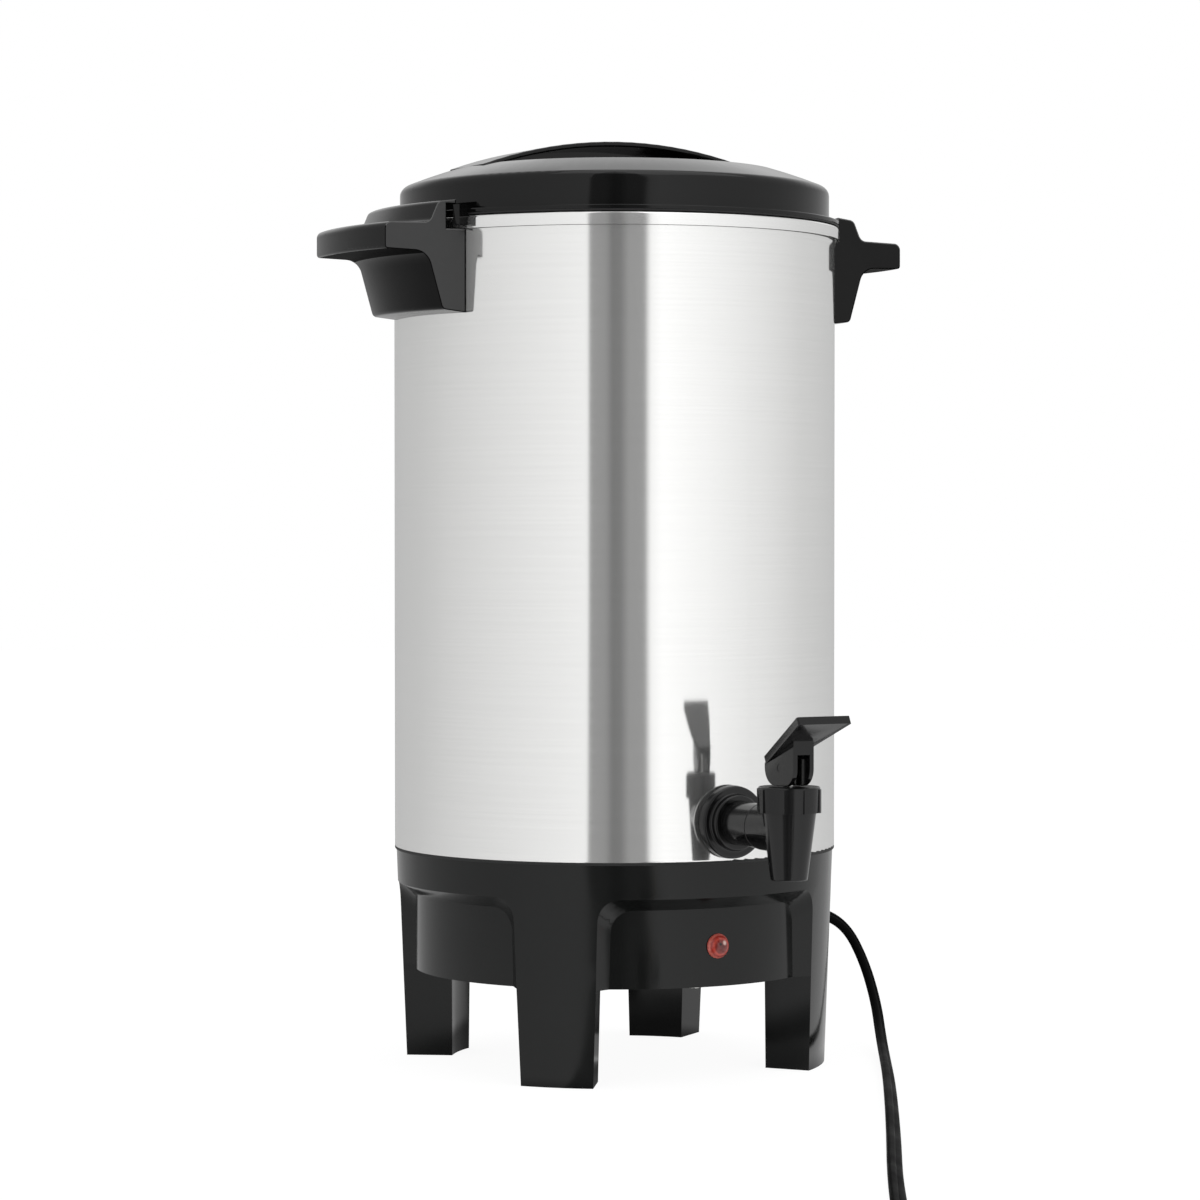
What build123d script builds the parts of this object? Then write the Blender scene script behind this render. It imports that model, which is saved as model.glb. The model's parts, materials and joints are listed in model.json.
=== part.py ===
from build123d import *
from math import asin, cos, degrees, hypot, pi, radians, sin, sqrt, tan
import os

# Electric percolating coffee urn. Millimetres. The tank's axis is Z and the legs stand on
# Z = 0. The tap faces -Y and the two handles lie along X.

os.makedirs("parts", exist_ok=True)

# ---- Clearances ----
FIXED_GAP = 0.1  # curved faces of fixed pieces
LOOSE_GAP = 0.3  # faces of pieces that move apart
RUN_GAP = 0.06  # radial clearance of a running fit

# ---- Tank ----
TANK_R = 105.0
SHEET = 0.8
SEAM_Z = 101.7  # top of the base moulding, where the bare steel starts
STEEL_H = 294.8  # bare steel, from the seam to the rim's top
RIM_H = 5.9
RIM_OUT = 2.2  # how far the rolled rim stands out of the wall
NECK_STEP = 3.4  # how far the tank's lower end is necked in, inside the base
NECK_H = 11.5
FLOOR_DOWN = 8.0  # inside of the tank's floor below the seam
WELL_R = 29.0
WELL_DEPTH = 11.0

RIM_Z = SEAM_Z + STEEL_H
TANK_IN = TANK_R - SHEET
RIM_R = TANK_R + RIM_OUT
NECK_R = TANK_R - NECK_STEP
NECK_IN = NECK_R - SHEET
FLOOR_Z = SEAM_Z - FLOOR_DOWN
WELL_Z = FLOOR_Z - WELL_DEPTH

# ---- Base moulding ----
BASE_STEP = 0.8  # top of the moulding inside the tank's wall
BASE_TAPER = 3.7  # less radius at the floor
BASE_WALL = 2.5
LEG_HALF_ANGLE = 10.6  # half of a leg's width, as an angle about the tank's axis
LEG_SPREAD = 0.8  # how much narrower a leg is at the floor, in degrees each side
LEG_H = 44.5  # floor to the pan's underside
ARCH_DOWN = 15.7  # top of the recess below the seam
ARCH_CORNER = 14.0
BEVEL_DROP = 5.7
BEVEL_TURN = 3.2  # bevel beside a leg, in degrees
PAN_STEP = 9.8  # pan's wall inside the tank's wall
PAN_EDGE = 4.5
PAN_LIP = 22.0  # inward lip round the pan's bottom opening

BASE_TOP_R = TANK_R - BASE_STEP
BASE_FOOT_R = BASE_TOP_R - BASE_TAPER
PAN_R = TANK_R - PAN_STEP
PAN_Z = LEG_H
ARCH_Z = SEAM_Z - ARCH_DOWN

# ---- Base fittings ----
COVER_T = 1.2
COVER_LAP = 6.9  # cover beyond the pan's opening
COVER_SCREW_LAP = 3.3
COVER_SCREWS = 4
LEG_GAP = 0.9  # cover's edge to the legs
STUD_R = 2.5
STUD_RING = 47.0
STUDS = 3
LAMP_UP = 18.5  # above the pan's underside
LENS_R = 5.7
RELIEF_UP = 20.5
RELIEF_R = 6.2
RELIEF_OUT = 3.6

OPENING_R = PAN_R - BASE_WALL - PAN_LIP
COVER_R = OPENING_R + COVER_LAP
COVER_SCREW_R = OPENING_R + COVER_SCREW_LAP
LEG_IN_R = COVER_R + LEG_GAP
LAMP_Z = PAN_Z + LAMP_UP
RELIEF_Z = PAN_Z + RELIEF_UP

# ---- Heating ----
PLATE_T = 4.0
PLATE_IN = 34.0
PLATE_OUT = 82.0
BOIL_RING = 64.0
BOIL_TUBE = 4.0
PIN_TURN = 20.0  # cold pins beside +X, in degrees
PIN_L = 13.0
WARM_T = 3.0
WARM_H = 6.5
STAT_R = 8.5
STAT_H = 9.0
STAT_AZIMUTHS = (150.0, 180.0)
BLOCK_L = 26.0
BLOCK_W = 18.0
BLOCK_H = 14.0
BLOCK_X = 44.0
LEAD_R = 1.3

# ---- Handles, as distances out of the tank's wall ----
HANDLE_HALF = 36.0
GRIP_OUT = 39.3
GRIP_TOP = 3.5  # below the rim's top
GRIP_T = 13.3
BLOCK_TOP_OUT = 13.3
BLOCK_LOW_OUT = 17.5
JAW_OUT = 4.8
JAW_TOP = 7.4
JAW_T = 2.2
SLOT_OUT = 9.3
STOP_GAP = 0.6
STOP_TURN = 3.0  # the stop's face past the handle's middle
LEG_OUT = 11.3
HANDLE_DROP = 42.9
HANDLE_SCREW_Z = 29.0  # below the rim's top
HANDLE_SCREW_TURN = 11.0
HANDLE_SCREW_R = 2.0
HANDLE_SCREW_DEPTH = 8.5

GRIP_R = TANK_R + GRIP_OUT
BLOCK_TOP_R = TANK_R + BLOCK_TOP_OUT
BLOCK_LOW_R = TANK_R + BLOCK_LOW_OUT
JAW_TIP_R = TANK_R + JAW_OUT
SLOT_R = TANK_R + SLOT_OUT
LEG_OUT_R = TANK_R + LEG_OUT

# ---- Lid ----
SEAL_T = 0.8
SEAL_LIP = 4.0
BRIM_T = 2.0
BAND_STEP = 2.7  # lid's band inside the tank's wall
LID_WALL = 2.6
DOME_R = 270.0
DOME_UP = 38.2  # virtual top of the dome above the rim's top
SHOULDER_R = 4.5
RECESS_R = 77.0
DISH_R = 62.0
DISH_UP = 15.5
SKIRT_CLEAR = 3.5  # skirt inside the tank's bore
SKIRT_T = 1.8
SKIRT_H = 7.0
BAR_UP = 40.2  # top of the lid's bar above the rim's top
BAR_T = 2.4
BAR_HALF = 17.0
WEB_HALF = 1.5
LUG_REACH = 4.6  # the lug's height above and below the rim's top
LUG_ANGLE = 2.0
LUG_START = 19.9  # from the handle's middle to the near side of the lug
LUG_GAP = 1.0  # lug to the back of the lock slot

BAND_R = TANK_R - BAND_STEP
SKIRT_R = TANK_IN - SKIRT_CLEAR

# ---- Percolator ----
TUBE_R = 5.0
TUBE_WALL = 0.7
TUBE_TOP_UP = 6.5  # tube's top above the rim's top
FOOT_R = 26.0
FOOT_H = 20.0
BASKET_R = 62.0
BASKET_H = 72.0
BASKET_DOWN = 94.0  # outside of the basket's floor below the rim's top
BASKET_SHEET = 0.6
HUB_T = 0.8
HUB_H = 26.0
COLLAR_T = 3.0
HOLE_R = 1.3
COVER_RIM = 5.0

# ---- Tap ----
TAP_UP = 18.9  # tap's bore above the seam
TAP_REACH = 51.0  # barrel's axis out of the steel wall
FLANGE_R = 16.8
STEP_R = 13.0
SHANK_R = 10.0
COLLAR_R = 10.7
COLLAR_L = 20.5  # behind the barrel's axis
SHANK_BORE = 6.0
SHANK_IN = 12.0  # threaded end inside the tank
GASKET_T = 1.6
GASKET_R = 13.2
FLANGE_T = 4.0
STEP_T = 3.4
NUT_AF = 27.0
NUT_T = 5.0
BARREL_TOP_R = 12.1
BARREL_LOW_R = 8.2
SPOUT_DROP = 3.6  # spout's end below the seam
BONNET_TOP_UP = 38.0
BONNET_H = 11.5
BONNET_R = 14.4
BONNET_TAPER = 0.3
RIB_OUT = 0.5  # grip ribs round the bonnet
RIB_W = 2.2
RIBS = 8
BONNET_TOP = 2.2
THREAD_R = 10.9
CHAMBER_R = 8.0
SEAT_UP = 11.0  # valve seat above the seam
SEAT_BORE = 4.5
SPOUT_BORE = 5.6
SPOUT_THROAT = 6.0
CUP_R = 7.3
CUP_H = 10.0
STEM_R = 2.5
SPRING_R = 5.4
SPRING_WIRE = 0.5
SPRING_PITCH = 2.6
CAM_R = 8.0
CAM_FLAT = 4.0  # half of the cam's flat, which is also the lift per radian
CHEEK_OUT = 5.3
CHEEK_T = 2.1
PIN_R = 1.5
PADDLE_T = 3.7
PADDLE_SLOPE = 25.7
PADDLE_BACK_HALF = 5.3
PADDLE_FRONT_HALF = 13.8
PADDLE_BACK = -12.5  # from the pivot, forward positive
PADDLE_FRONT = 28.0
PADDLE_RISE = 4.5  # paddle's back edge above the pivot

# ---- Cord ----
CORD_D = 6.0  # round with the same height on the floor as the flat lead
FLOOR_CLEAR = 0.05
COIL_MEAN = 43.0
COIL_HALF = 12.0
PLUG_L = 30.0
PLUG_W = 23.0
PLUG_T = 13.0
BLADE_L = 16.0
BLADE_W = 6.3
BLADE_T = 1.5
BLADE_GAP = 12.7


def meridian(azimuth):
    """Half-plane of the tank's axis at an azimuth: local x is the radius, local y is Z."""
    a = radians(azimuth)
    return Plane(origin=(0, 0, 0), x_dir=(cos(a), sin(a), 0), z_dir=(sin(a), -cos(a), 0))


def radial(azimuth, z, r):
    """Plane across a radius, facing outward."""
    a = radians(azimuth)
    return Plane(origin=(r * cos(a), r * sin(a), z), x_dir=(-sin(a), cos(a), 0),
                 z_dir=(cos(a), sin(a), 0))


def polar(r, azimuth):
    return (r * cos(radians(azimuth)), r * sin(radians(azimuth)))


def reach(point):
    """Distance of a point from the tank's axis."""
    return hypot(point.X, point.Y)


def base_r(z):
    """Outside radius of the base moulding at a height."""
    return BASE_FOOT_R + (BASE_TOP_R - BASE_FOOT_R) * z / SEAM_Z


def dome_z(r, inset=0.0):
    """Height of the lid's dome at a radius."""
    return RIM_Z + DOME_UP - DOME_R + sqrt((DOME_R - inset) ** 2 - r * r)


def save(builder, name):
    builder.part.label = name
    export_step(builder.part, f"parts/{name}.step")


# ======== Tank ========
TAP_Z = SEAM_Z + TAP_UP
handle_azimuths = [side + turn for side in (0, 180)
                   for turn in (-HANDLE_SCREW_TURN, HANDLE_SCREW_TURN)]
handle_screw_z = RIM_Z - HANDLE_SCREW_Z

with BuildPart() as tank_shell:
    with BuildSketch(Plane.XZ):
        with BuildLine():
            FilletPolyline(
                (NECK_IN, SEAM_Z - NECK_H),
                (NECK_IN, SEAM_Z + SHEET),
                (TANK_IN, SEAM_Z + SHEET),
                (TANK_IN, RIM_Z),
                (RIM_R, RIM_Z),
                (RIM_R, RIM_Z - RIM_H),
                radius=[1.2, 0.9, 1.3, 1.3],
            )
            offset(amount=SHEET, side=Side.RIGHT)
        make_face()
    revolve(axis=Axis.Z)
    with BuildSketch(radial(-90, TAP_Z, NECK_IN)):
        Circle(SHANK_R + FIXED_GAP)
    extrude(amount=RIM_R - NECK_IN, mode=Mode.SUBTRACT)
    for azimuth in handle_azimuths:
        with BuildSketch(radial(azimuth, handle_screw_z, NECK_IN)):
            Circle(HANDLE_SCREW_R + FIXED_GAP)
        extrude(amount=RIM_R - NECK_IN, mode=Mode.SUBTRACT)
save(tank_shell, "tank_shell")

with BuildPart() as tank_floor:
    with BuildSketch(Plane.XZ):
        with BuildLine():
            FilletPolyline(
                (0, WELL_Z),
                (WELL_R, WELL_Z),
                (WELL_R, FLOOR_Z),
                (NECK_IN - FIXED_GAP - SHEET, FLOOR_Z),
                (NECK_IN - FIXED_GAP - SHEET, SEAM_Z - SHEET),
                radius=[3.0, 3.0, 2.0],
            )
            offset(amount=SHEET, side=Side.RIGHT)
        make_face()
    revolve(axis=Axis.Z)
save(tank_floor, "tank_floor")

# ======== Base moulding ========
PANELS = (0, 90, 180, 270)
LEG_AZIMUTHS = (45, 135, 225, 315)
WINDOW_HALF = 45 - LEG_HALF_ANGLE


def window_half(z):
    """Half-angle of the opening between two legs on the outer skin, wider at the floor."""
    return WINDOW_HALF + LEG_SPREAD * (PAN_Z - z) / PAN_Z


def wedge_points(z, inner_turn, inner_r, near, far):
    """Corners of a wedge about +X whose sides pass through an outer and an inner point."""
    out_x, out_y = polar(base_r(z), window_half(z))
    in_x, in_y = polar(inner_r, window_half(z) - inner_turn)
    slope = (out_y - in_y) / (out_x - in_x)
    near_y = in_y + slope * (near - in_x)
    far_y = in_y + slope * (far - in_x)
    return [(near, -near_y), (far, -far_y), (far, far_y), (near, near_y)]


with BuildPart() as window_bevel:
    # The recess over the pan wall, with a bevelled frame round it.
    low, high = PAN_Z - 1, ARCH_Z + 12
    for level in (low, high):
        with BuildSketch(Plane.XY.offset(level)):
            with BuildLine():
                Polyline(*wedge_points(level, BEVEL_TURN, PAN_R, 74.0, 108.0), close=True)
            make_face()
    loft(ruled=True)
    bevel_r = base_r(ARCH_Z)
    bevel_slope = BEVEL_DROP / (bevel_r - PAN_R)
    with BuildSketch(Plane.XZ):
        with BuildLine():
            Polyline(
                (PAN_R, low), (112, low), (112, ARCH_Z + bevel_slope * (112 - bevel_r)),
                (PAN_R, ARCH_Z - BEVEL_DROP), close=True,
            )
        make_face()
    revolve(axis=Axis.Z, mode=Mode.INTERSECT)
    arch_edges = window_bevel.edges().filter_by(
        lambda e: e.center().Z > ARCH_Z - BEVEL_DROP and abs(reach(e @ 1) - reach(e @ 0)) > 5)
    fillet(arch_edges, ARCH_CORNER)

with BuildPart() as leg_gap:
    # The open space between two legs under the pan.
    for level in (-1, PAN_Z):
        with BuildSketch(Plane.XY.offset(level)):
            with BuildLine():
                Polyline(*wedge_points(level, 0, 1.0, 60.0, 112.0), close=True)
            make_face()
    loft(ruled=True)

LEG_CORE_TOP = SEAM_Z - 14
with BuildPart() as leg_core:
    # The hollow of a leg, open into the pan.
    for level in (BASE_WALL, LEG_CORE_TOP):
        with BuildSketch(Plane.XY.offset(level)):
            half = 45 - window_half(min(level, PAN_Z))
            inner = LEG_IN_R + BASE_WALL
            outer = base_r(level) - BASE_WALL
            with BuildLine():
                Polyline(
                    (inner, -inner * tan(radians(half)) + BASE_WALL),
                    (outer, -outer * tan(radians(half)) + BASE_WALL),
                    (outer, outer * tan(radians(half)) - BASE_WALL),
                    (inner, inner * tan(radians(half)) - BASE_WALL),
                    close=True,
                )
            make_face()
    loft(ruled=True)

with BuildPart() as base_housing:
    with BuildSketch(Plane.XZ):
        with BuildLine():
            Polyline((LEG_IN_R, 0), (BASE_FOOT_R, 0), (BASE_TOP_R, SEAM_Z), (LEG_IN_R, SEAM_Z),
                     close=True)
        make_face()
    revolve(axis=Axis.Z)
    for azimuth in PANELS:
        add(window_bevel.part.rotate(Axis.Z, azimuth), mode=Mode.SUBTRACT)
        add(leg_gap.part.rotate(Axis.Z, azimuth), mode=Mode.SUBTRACT)
    with BuildSketch(Plane.XZ):
        with BuildLine():
            low_edge = Polyline((0, SEAM_Z), (0, PAN_Z), (PAN_R - PAN_EDGE, PAN_Z))
            JernArc(low_edge @ 1, (1, 0), PAN_EDGE, 90)
            Polyline((PAN_R, PAN_Z + PAN_EDGE), (PAN_R, SEAM_Z), (0, SEAM_Z))
        make_face()
    revolve(axis=Axis.Z)
    # The inside: one turned hollow, and a core down each leg.
    bore_r = NECK_R + FIXED_GAP
    hollow_top = ARCH_Z + BASE_WALL
    with BuildSketch(Plane.XZ):
        with BuildLine():
            Polyline(
                (0, PAN_Z + BASE_WALL),
                (PAN_R - BASE_WALL, PAN_Z + BASE_WALL),
                (PAN_R - BASE_WALL, ARCH_Z - BEVEL_DROP),
                (bore_r, hollow_top),
                (bore_r, SEAM_Z - SHEET),
                (bore_r + SHEET, SEAM_Z),
                (0, SEAM_Z),
                close=True,
            )
        make_face()
    revolve(axis=Axis.Z, mode=Mode.SUBTRACT)
    for azimuth in LEG_AZIMUTHS:
        add(leg_core.part.rotate(Axis.Z, azimuth), mode=Mode.SUBTRACT)
    # The pan's bottom opening, inside its lip.
    with BuildSketch(Plane.XY.offset(PAN_Z)):
        Circle(OPENING_R)
    extrude(amount=BASE_WALL, mode=Mode.SUBTRACT)
    with BuildSketch(Plane.XY.offset(PAN_Z)):
        with PolarLocations(COVER_SCREW_R, COVER_SCREWS):
            Circle(1.5)
    extrude(amount=BASE_WALL, mode=Mode.SUBTRACT)
    with BuildSketch(radial(-90, LAMP_Z, PAN_R - 2 * BASE_WALL)):
        Circle(LENS_R - 1.0)
    extrude(amount=3 * BASE_WALL, mode=Mode.SUBTRACT)
    with BuildSketch(radial(0, RELIEF_Z, PAN_R - 2 * BASE_WALL)):
        Circle(RELIEF_R - 1.2)
    extrude(amount=3 * BASE_WALL, mode=Mode.SUBTRACT)
save(base_housing, "base_housing")

stud_points = [polar(STUD_RING, 90 + 360 / STUDS * i) for i in range(STUDS)]

with BuildPart() as base_cover:
    with BuildSketch(Plane.XY.offset(PAN_Z - COVER_T)):
        Circle(COVER_R)
        with PolarLocations(COVER_SCREW_R, COVER_SCREWS):
            Circle(1.5 + FIXED_GAP, mode=Mode.SUBTRACT)
        with Locations(*stud_points):
            Circle(STUD_R + FIXED_GAP, mode=Mode.SUBTRACT)
        with PolarLocations(26, 10):
            SlotOverall(14, 2.5, mode=Mode.SUBTRACT)
    extrude(amount=COVER_T)
save(base_cover, "base_cover")

with BuildPart() as cover_screws:
    for x, y in [polar(COVER_SCREW_R, 360 / COVER_SCREWS * i) for i in range(COVER_SCREWS)]:
        with BuildSketch(Plane.XY.offset(PAN_Z - COVER_T - 1.6)):
            with Locations((x, y)):
                Circle(2.9)
        extrude(amount=1.6)
        with BuildSketch(Plane.XY.offset(PAN_Z - COVER_T)):
            with Locations((x, y)):
                Circle(1.5)
        extrude(amount=COVER_T + BASE_WALL + 2)
save(cover_screws, "cover_screws")

# ======== Heating ========
PLATE_TOP = FLOOR_Z - SHEET
PLATE_LOW = PLATE_TOP - PLATE_T
boil_z = PLATE_LOW - BOIL_TUBE
warm_in = WELL_R + SHEET + FIXED_GAP
stat_points = [polar(BOIL_RING - 18, azimuth) for azimuth in STAT_AZIMUTHS]

with BuildPart() as heat_plate:
    with BuildSketch(Plane.XY.offset(PLATE_LOW)):
        Circle(PLATE_OUT)
        Circle(PLATE_IN, mode=Mode.SUBTRACT)
        with Locations(*stud_points):
            Circle(STUD_R + FIXED_GAP, mode=Mode.SUBTRACT)
    extrude(amount=PLATE_T)
save(heat_plate, "heat_plate")

with BuildPart() as boil_element:
    # An open ring of sheathed tube with two cold pins pointing down.
    with BuildSketch(meridian(PIN_TURN)):
        with Locations((BOIL_RING, boil_z)):
            Circle(BOIL_TUBE)
    revolve(axis=Axis.Z, revolution_arc=360 - 2 * PIN_TURN)
    for azimuth in (PIN_TURN, -PIN_TURN):
        with BuildSketch(Plane.XY.offset(boil_z - PIN_L)):
            with Locations(polar(BOIL_RING, azimuth)):
                Circle(BOIL_TUBE - 1)
        extrude(amount=PIN_L)
save(boil_element, "boil_element")

with BuildPart() as warm_element:
    with BuildSketch(Plane.XY.offset(WELL_Z + 0.5)):
        Circle(warm_in + WARM_T)
        Circle(warm_in, mode=Mode.SUBTRACT)
    extrude(amount=WARM_H)
save(warm_element, "warm_element")


def thermostat(x, y):
    """A disc thermostat under the heat plate, with its two tabs."""
    with BuildPart() as stat:
        with BuildSketch(Plane.XY.offset(PLATE_LOW - STAT_H)):
            with Locations((x, y)):
                Circle(STAT_R)
        extrude(amount=STAT_H)
        fillet(stat.faces().sort_by(Axis.Z)[0].edges(), 1.0)
        with BuildSketch(Plane.XY.offset(PLATE_LOW - STAT_H - 8)):
            with Locations((x, y - 4), (x, y + 4)):
                Rectangle(6.3, 0.8)
        extrude(amount=8)
    return stat.part


with BuildPart() as boil_thermostat:
    add(thermostat(*stat_points[0]))
save(boil_thermostat, "boil_thermostat")

with BuildPart() as dry_cutout:
    add(thermostat(*stat_points[1]))
save(dry_cutout, "dry_cutout")

with BuildPart() as mount_studs:
    # Studs welded under the tank's floor, which hold the moulding and its cover up to it.
    for x, y in stud_points:
        with BuildSketch(Plane.XY.offset(PAN_Z - COVER_T - 7)):
            with Locations((x, y)):
                Circle(STUD_R)
        extrude(amount=PLATE_TOP - PAN_Z + COVER_T + 7)
save(mount_studs, "mount_studs")

with BuildPart() as mount_nuts:
    for x, y in stud_points:
        with BuildSketch(Plane.XY.offset(PAN_Z - COVER_T - 4)):
            with Locations((x, y)):
                RegularPolygon(4.0, 6, major_radius=False)
                Circle(STUD_R + FIXED_GAP / 2, mode=Mode.SUBTRACT)
        extrude(amount=4)
save(mount_nuts, "mount_nuts")

TAB_Z = PAN_Z + BLOCK_H - 7
TAB_Y = BLOCK_W / 4
with BuildPart() as terminal_block:
    with BuildSketch(Plane.XY.offset(PAN_Z)):
        with Locations((BLOCK_X, 0)):
            Rectangle(BLOCK_L, BLOCK_W)
    extrude(amount=BLOCK_H)
    with BuildSketch(Plane.XY.offset(TAB_Z)):
        with Locations((BLOCK_X, -TAB_Y), (BLOCK_X, TAB_Y)):
            Rectangle(BLOCK_L + 4, 5.5)
    extrude(amount=5)
save(terminal_block, "terminal_block")

# ======== Lamp and cord entry ========
lamp_axis = Axis((0, 0, LAMP_Z), (0, -1, 0))
lens_back = PAN_R - BASE_WALL - 3
with BuildPart() as pilot_lens:
    with BuildSketch(meridian(-90)):
        with BuildLine():
            dome = ThreePointArc(
                (PAN_R + LENS_R * 0.75, LAMP_Z),
                (PAN_R + LENS_R * 0.55, LAMP_Z + LENS_R * 0.62),
                (PAN_R + FIXED_GAP + 0.4, LAMP_Z + LENS_R),
            )
            Polyline(
                dome @ 1,
                (PAN_R + FIXED_GAP, LAMP_Z + LENS_R),
                (PAN_R + FIXED_GAP, LAMP_Z + LENS_R - 1.2),
                (lens_back, LAMP_Z + LENS_R - 1.2),
                (lens_back, LAMP_Z + LENS_R - 2.2),
                (PAN_R + 1.5, LAMP_Z + LENS_R - 2.2),
                (PAN_R + 2.4, LAMP_Z),
                dome @ 0,
            )
        make_face()
    revolve(axis=lamp_axis)
save(pilot_lens, "pilot_lens")

with BuildPart() as pilot_lamp:
    with BuildSketch(radial(-90, LAMP_Z, lens_back - 10)):
        Circle(LENS_R - 2.2 - FIXED_GAP)
    extrude(amount=12)
    with BuildSketch(radial(-90, LAMP_Z, lens_back - 4)):
        Circle(LENS_R)
    extrude(amount=4)
save(pilot_lamp, "pilot_lamp")

relief_axis = Axis((0, 0, RELIEF_Z), (1, 0, 0))
wall_in = sqrt((PAN_R - BASE_WALL) ** 2 - RELIEF_R ** 2) - FIXED_GAP
relief_in = wall_in - 3
cord_x = PAN_R + RELIEF_OUT
with BuildPart() as strain_relief:
    # A grooved bush: its neck sits in the wall, with a shoulder on each side.
    with BuildSketch(Plane.XZ):
        with BuildLine():
            Polyline(
                (relief_in, RELIEF_Z + CORD_D / 2 + FIXED_GAP),
                (relief_in, RELIEF_Z + RELIEF_R),
                (wall_in, RELIEF_Z + RELIEF_R),
                (wall_in, RELIEF_Z + RELIEF_R - 1.3),
                (PAN_R + FIXED_GAP, RELIEF_Z + RELIEF_R - 1.3),
                (PAN_R + FIXED_GAP, RELIEF_Z + RELIEF_R),
                (cord_x, RELIEF_Z + RELIEF_R - 1.4),
                (cord_x, RELIEF_Z + CORD_D / 2 + FIXED_GAP),
                close=True,
            )
        make_face()
    revolve(axis=relief_axis)
save(strain_relief, "strain_relief")

with BuildPart() as leads:
    # From the cord entry to the block, and from the block's sides up to the boil element.
    pin_x, pin_y = polar(BOIL_RING, PIN_TURN)
    for side in (-1, 1):
        ends = [
            [(relief_in, side * 1.6, RELIEF_Z), (relief_in - 8, side * 1.6, RELIEF_Z),
             (BLOCK_X + BLOCK_L / 2 + 8, side * TAB_Y, TAB_Z + 2.5),
             (BLOCK_X + BLOCK_L / 2 + 2, side * TAB_Y, TAB_Z + 2.5)],
            [(BLOCK_X + 6, side * BLOCK_W / 2, PAN_Z + 4), (BLOCK_X + 6, side * (pin_y - 3), PAN_Z + 4),
             (pin_x, side * pin_y, boil_z - PIN_L - 8), (pin_x, side * pin_y, boil_z - PIN_L)],
        ]
        for points in ends:
            with BuildLine() as lead_path:
                FilletPolyline(*points, radius=4.0)
            start = lead_path.line
            with BuildSketch(Plane(origin=points[0], z_dir=start % 0)):
                Circle(LEAD_R)
            sweep(path=start)
save(leads, "leads")

# ======== Handles ========
grip_top_z = RIM_Z - GRIP_TOP
grip_low_z = grip_top_z - GRIP_T
slot_floor_z = RIM_Z - RIM_H - LOOSE_GAP
jaw_z = RIM_Z + JAW_TOP
handle_turn = degrees(asin(HANDLE_HALF / TANK_R)) + 6
with BuildPart() as handle_right:
    with BuildSketch(meridian(-handle_turn)):
        with BuildLine():
            grip = FilletPolyline(
                (JAW_TIP_R, jaw_z - 0.1),
                (BLOCK_TOP_R, jaw_z - 1.2),
                (BLOCK_LOW_R, grip_top_z),
                (GRIP_R, grip_top_z - 0.6),
                (GRIP_R, grip_low_z + 0.6),
                (BLOCK_LOW_R + 1.2, grip_low_z),
                (LEG_OUT_R, RIM_Z - HANDLE_DROP),
                (TANK_R + FIXED_GAP, RIM_Z - HANDLE_DROP - 1.2),
                radius=[3.4, 4.0, 3.2, 1.5, 8.0, 2.6],
            )
            Polyline(
                grip @ 1,
                (TANK_R + FIXED_GAP, slot_floor_z),
                (SLOT_R, slot_floor_z),
                (SLOT_R, jaw_z - JAW_T),
                (JAW_TIP_R, jaw_z - JAW_T),
                grip @ 0,
            )
        make_face()
    revolve(axis=Axis.Z, revolution_arc=2 * handle_turn)
    # The slot is shut past the middle, which stops the lid's lug there.
    with BuildSketch(meridian(-handle_turn)):
        with BuildLine():
            Polyline(
                (RIM_R + STOP_GAP, slot_floor_z - 1), (SLOT_R + 1, slot_floor_z - 1),
                (SLOT_R + 1, jaw_z - JAW_T + 1), (JAW_TIP_R + 1, jaw_z - JAW_T + 1),
                (JAW_TIP_R, jaw_z - JAW_T), (RIM_R + STOP_GAP, jaw_z - JAW_T), close=True,
            )
        make_face()
    revolve(axis=Axis.Z, revolution_arc=handle_turn - STOP_TURN)
    with BuildSketch(Plane.XY.offset(RIM_Z - 2 * HANDLE_DROP)):
        with Locations((GRIP_R, 0)):
            Rectangle(2 * (GRIP_R - TANK_R) + 20, 2 * HANDLE_HALF)
    extrude(amount=3 * HANDLE_DROP, mode=Mode.INTERSECT)
    for turn in (-HANDLE_SCREW_TURN, HANDLE_SCREW_TURN):
        with BuildSketch(radial(turn, handle_screw_z, TANK_R)):
            Circle(HANDLE_SCREW_R + FIXED_GAP / 2)
        extrude(amount=HANDLE_SCREW_DEPTH + 1, mode=Mode.SUBTRACT)
save(handle_right, "handle_right")

with BuildPart() as handle_left:
    add(handle_right.part.rotate(Axis.Z, 180))
save(handle_left, "handle_left")

washer_r = TANK_IN - 1.2
with BuildPart() as handle_washers:
    for azimuth in handle_azimuths:
        with BuildSketch(radial(azimuth, handle_screw_z, washer_r)):
            Circle(5.0)
            Circle(HANDLE_SCREW_R + FIXED_GAP, mode=Mode.SUBTRACT)
        extrude(amount=1.0)
save(handle_washers, "handle_washers")

with BuildPart() as handle_screws:
    for azimuth in handle_azimuths:
        with BuildSketch(radial(azimuth, handle_screw_z, washer_r - 2.4)):
            Circle(3.9)
        extrude(amount=2.4)
        with BuildSketch(radial(azimuth, handle_screw_z, washer_r)):
            Circle(HANDLE_SCREW_R)
        extrude(amount=TANK_R - washer_r + HANDLE_SCREW_DEPTH)
save(handle_screws, "handle_screws")

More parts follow.
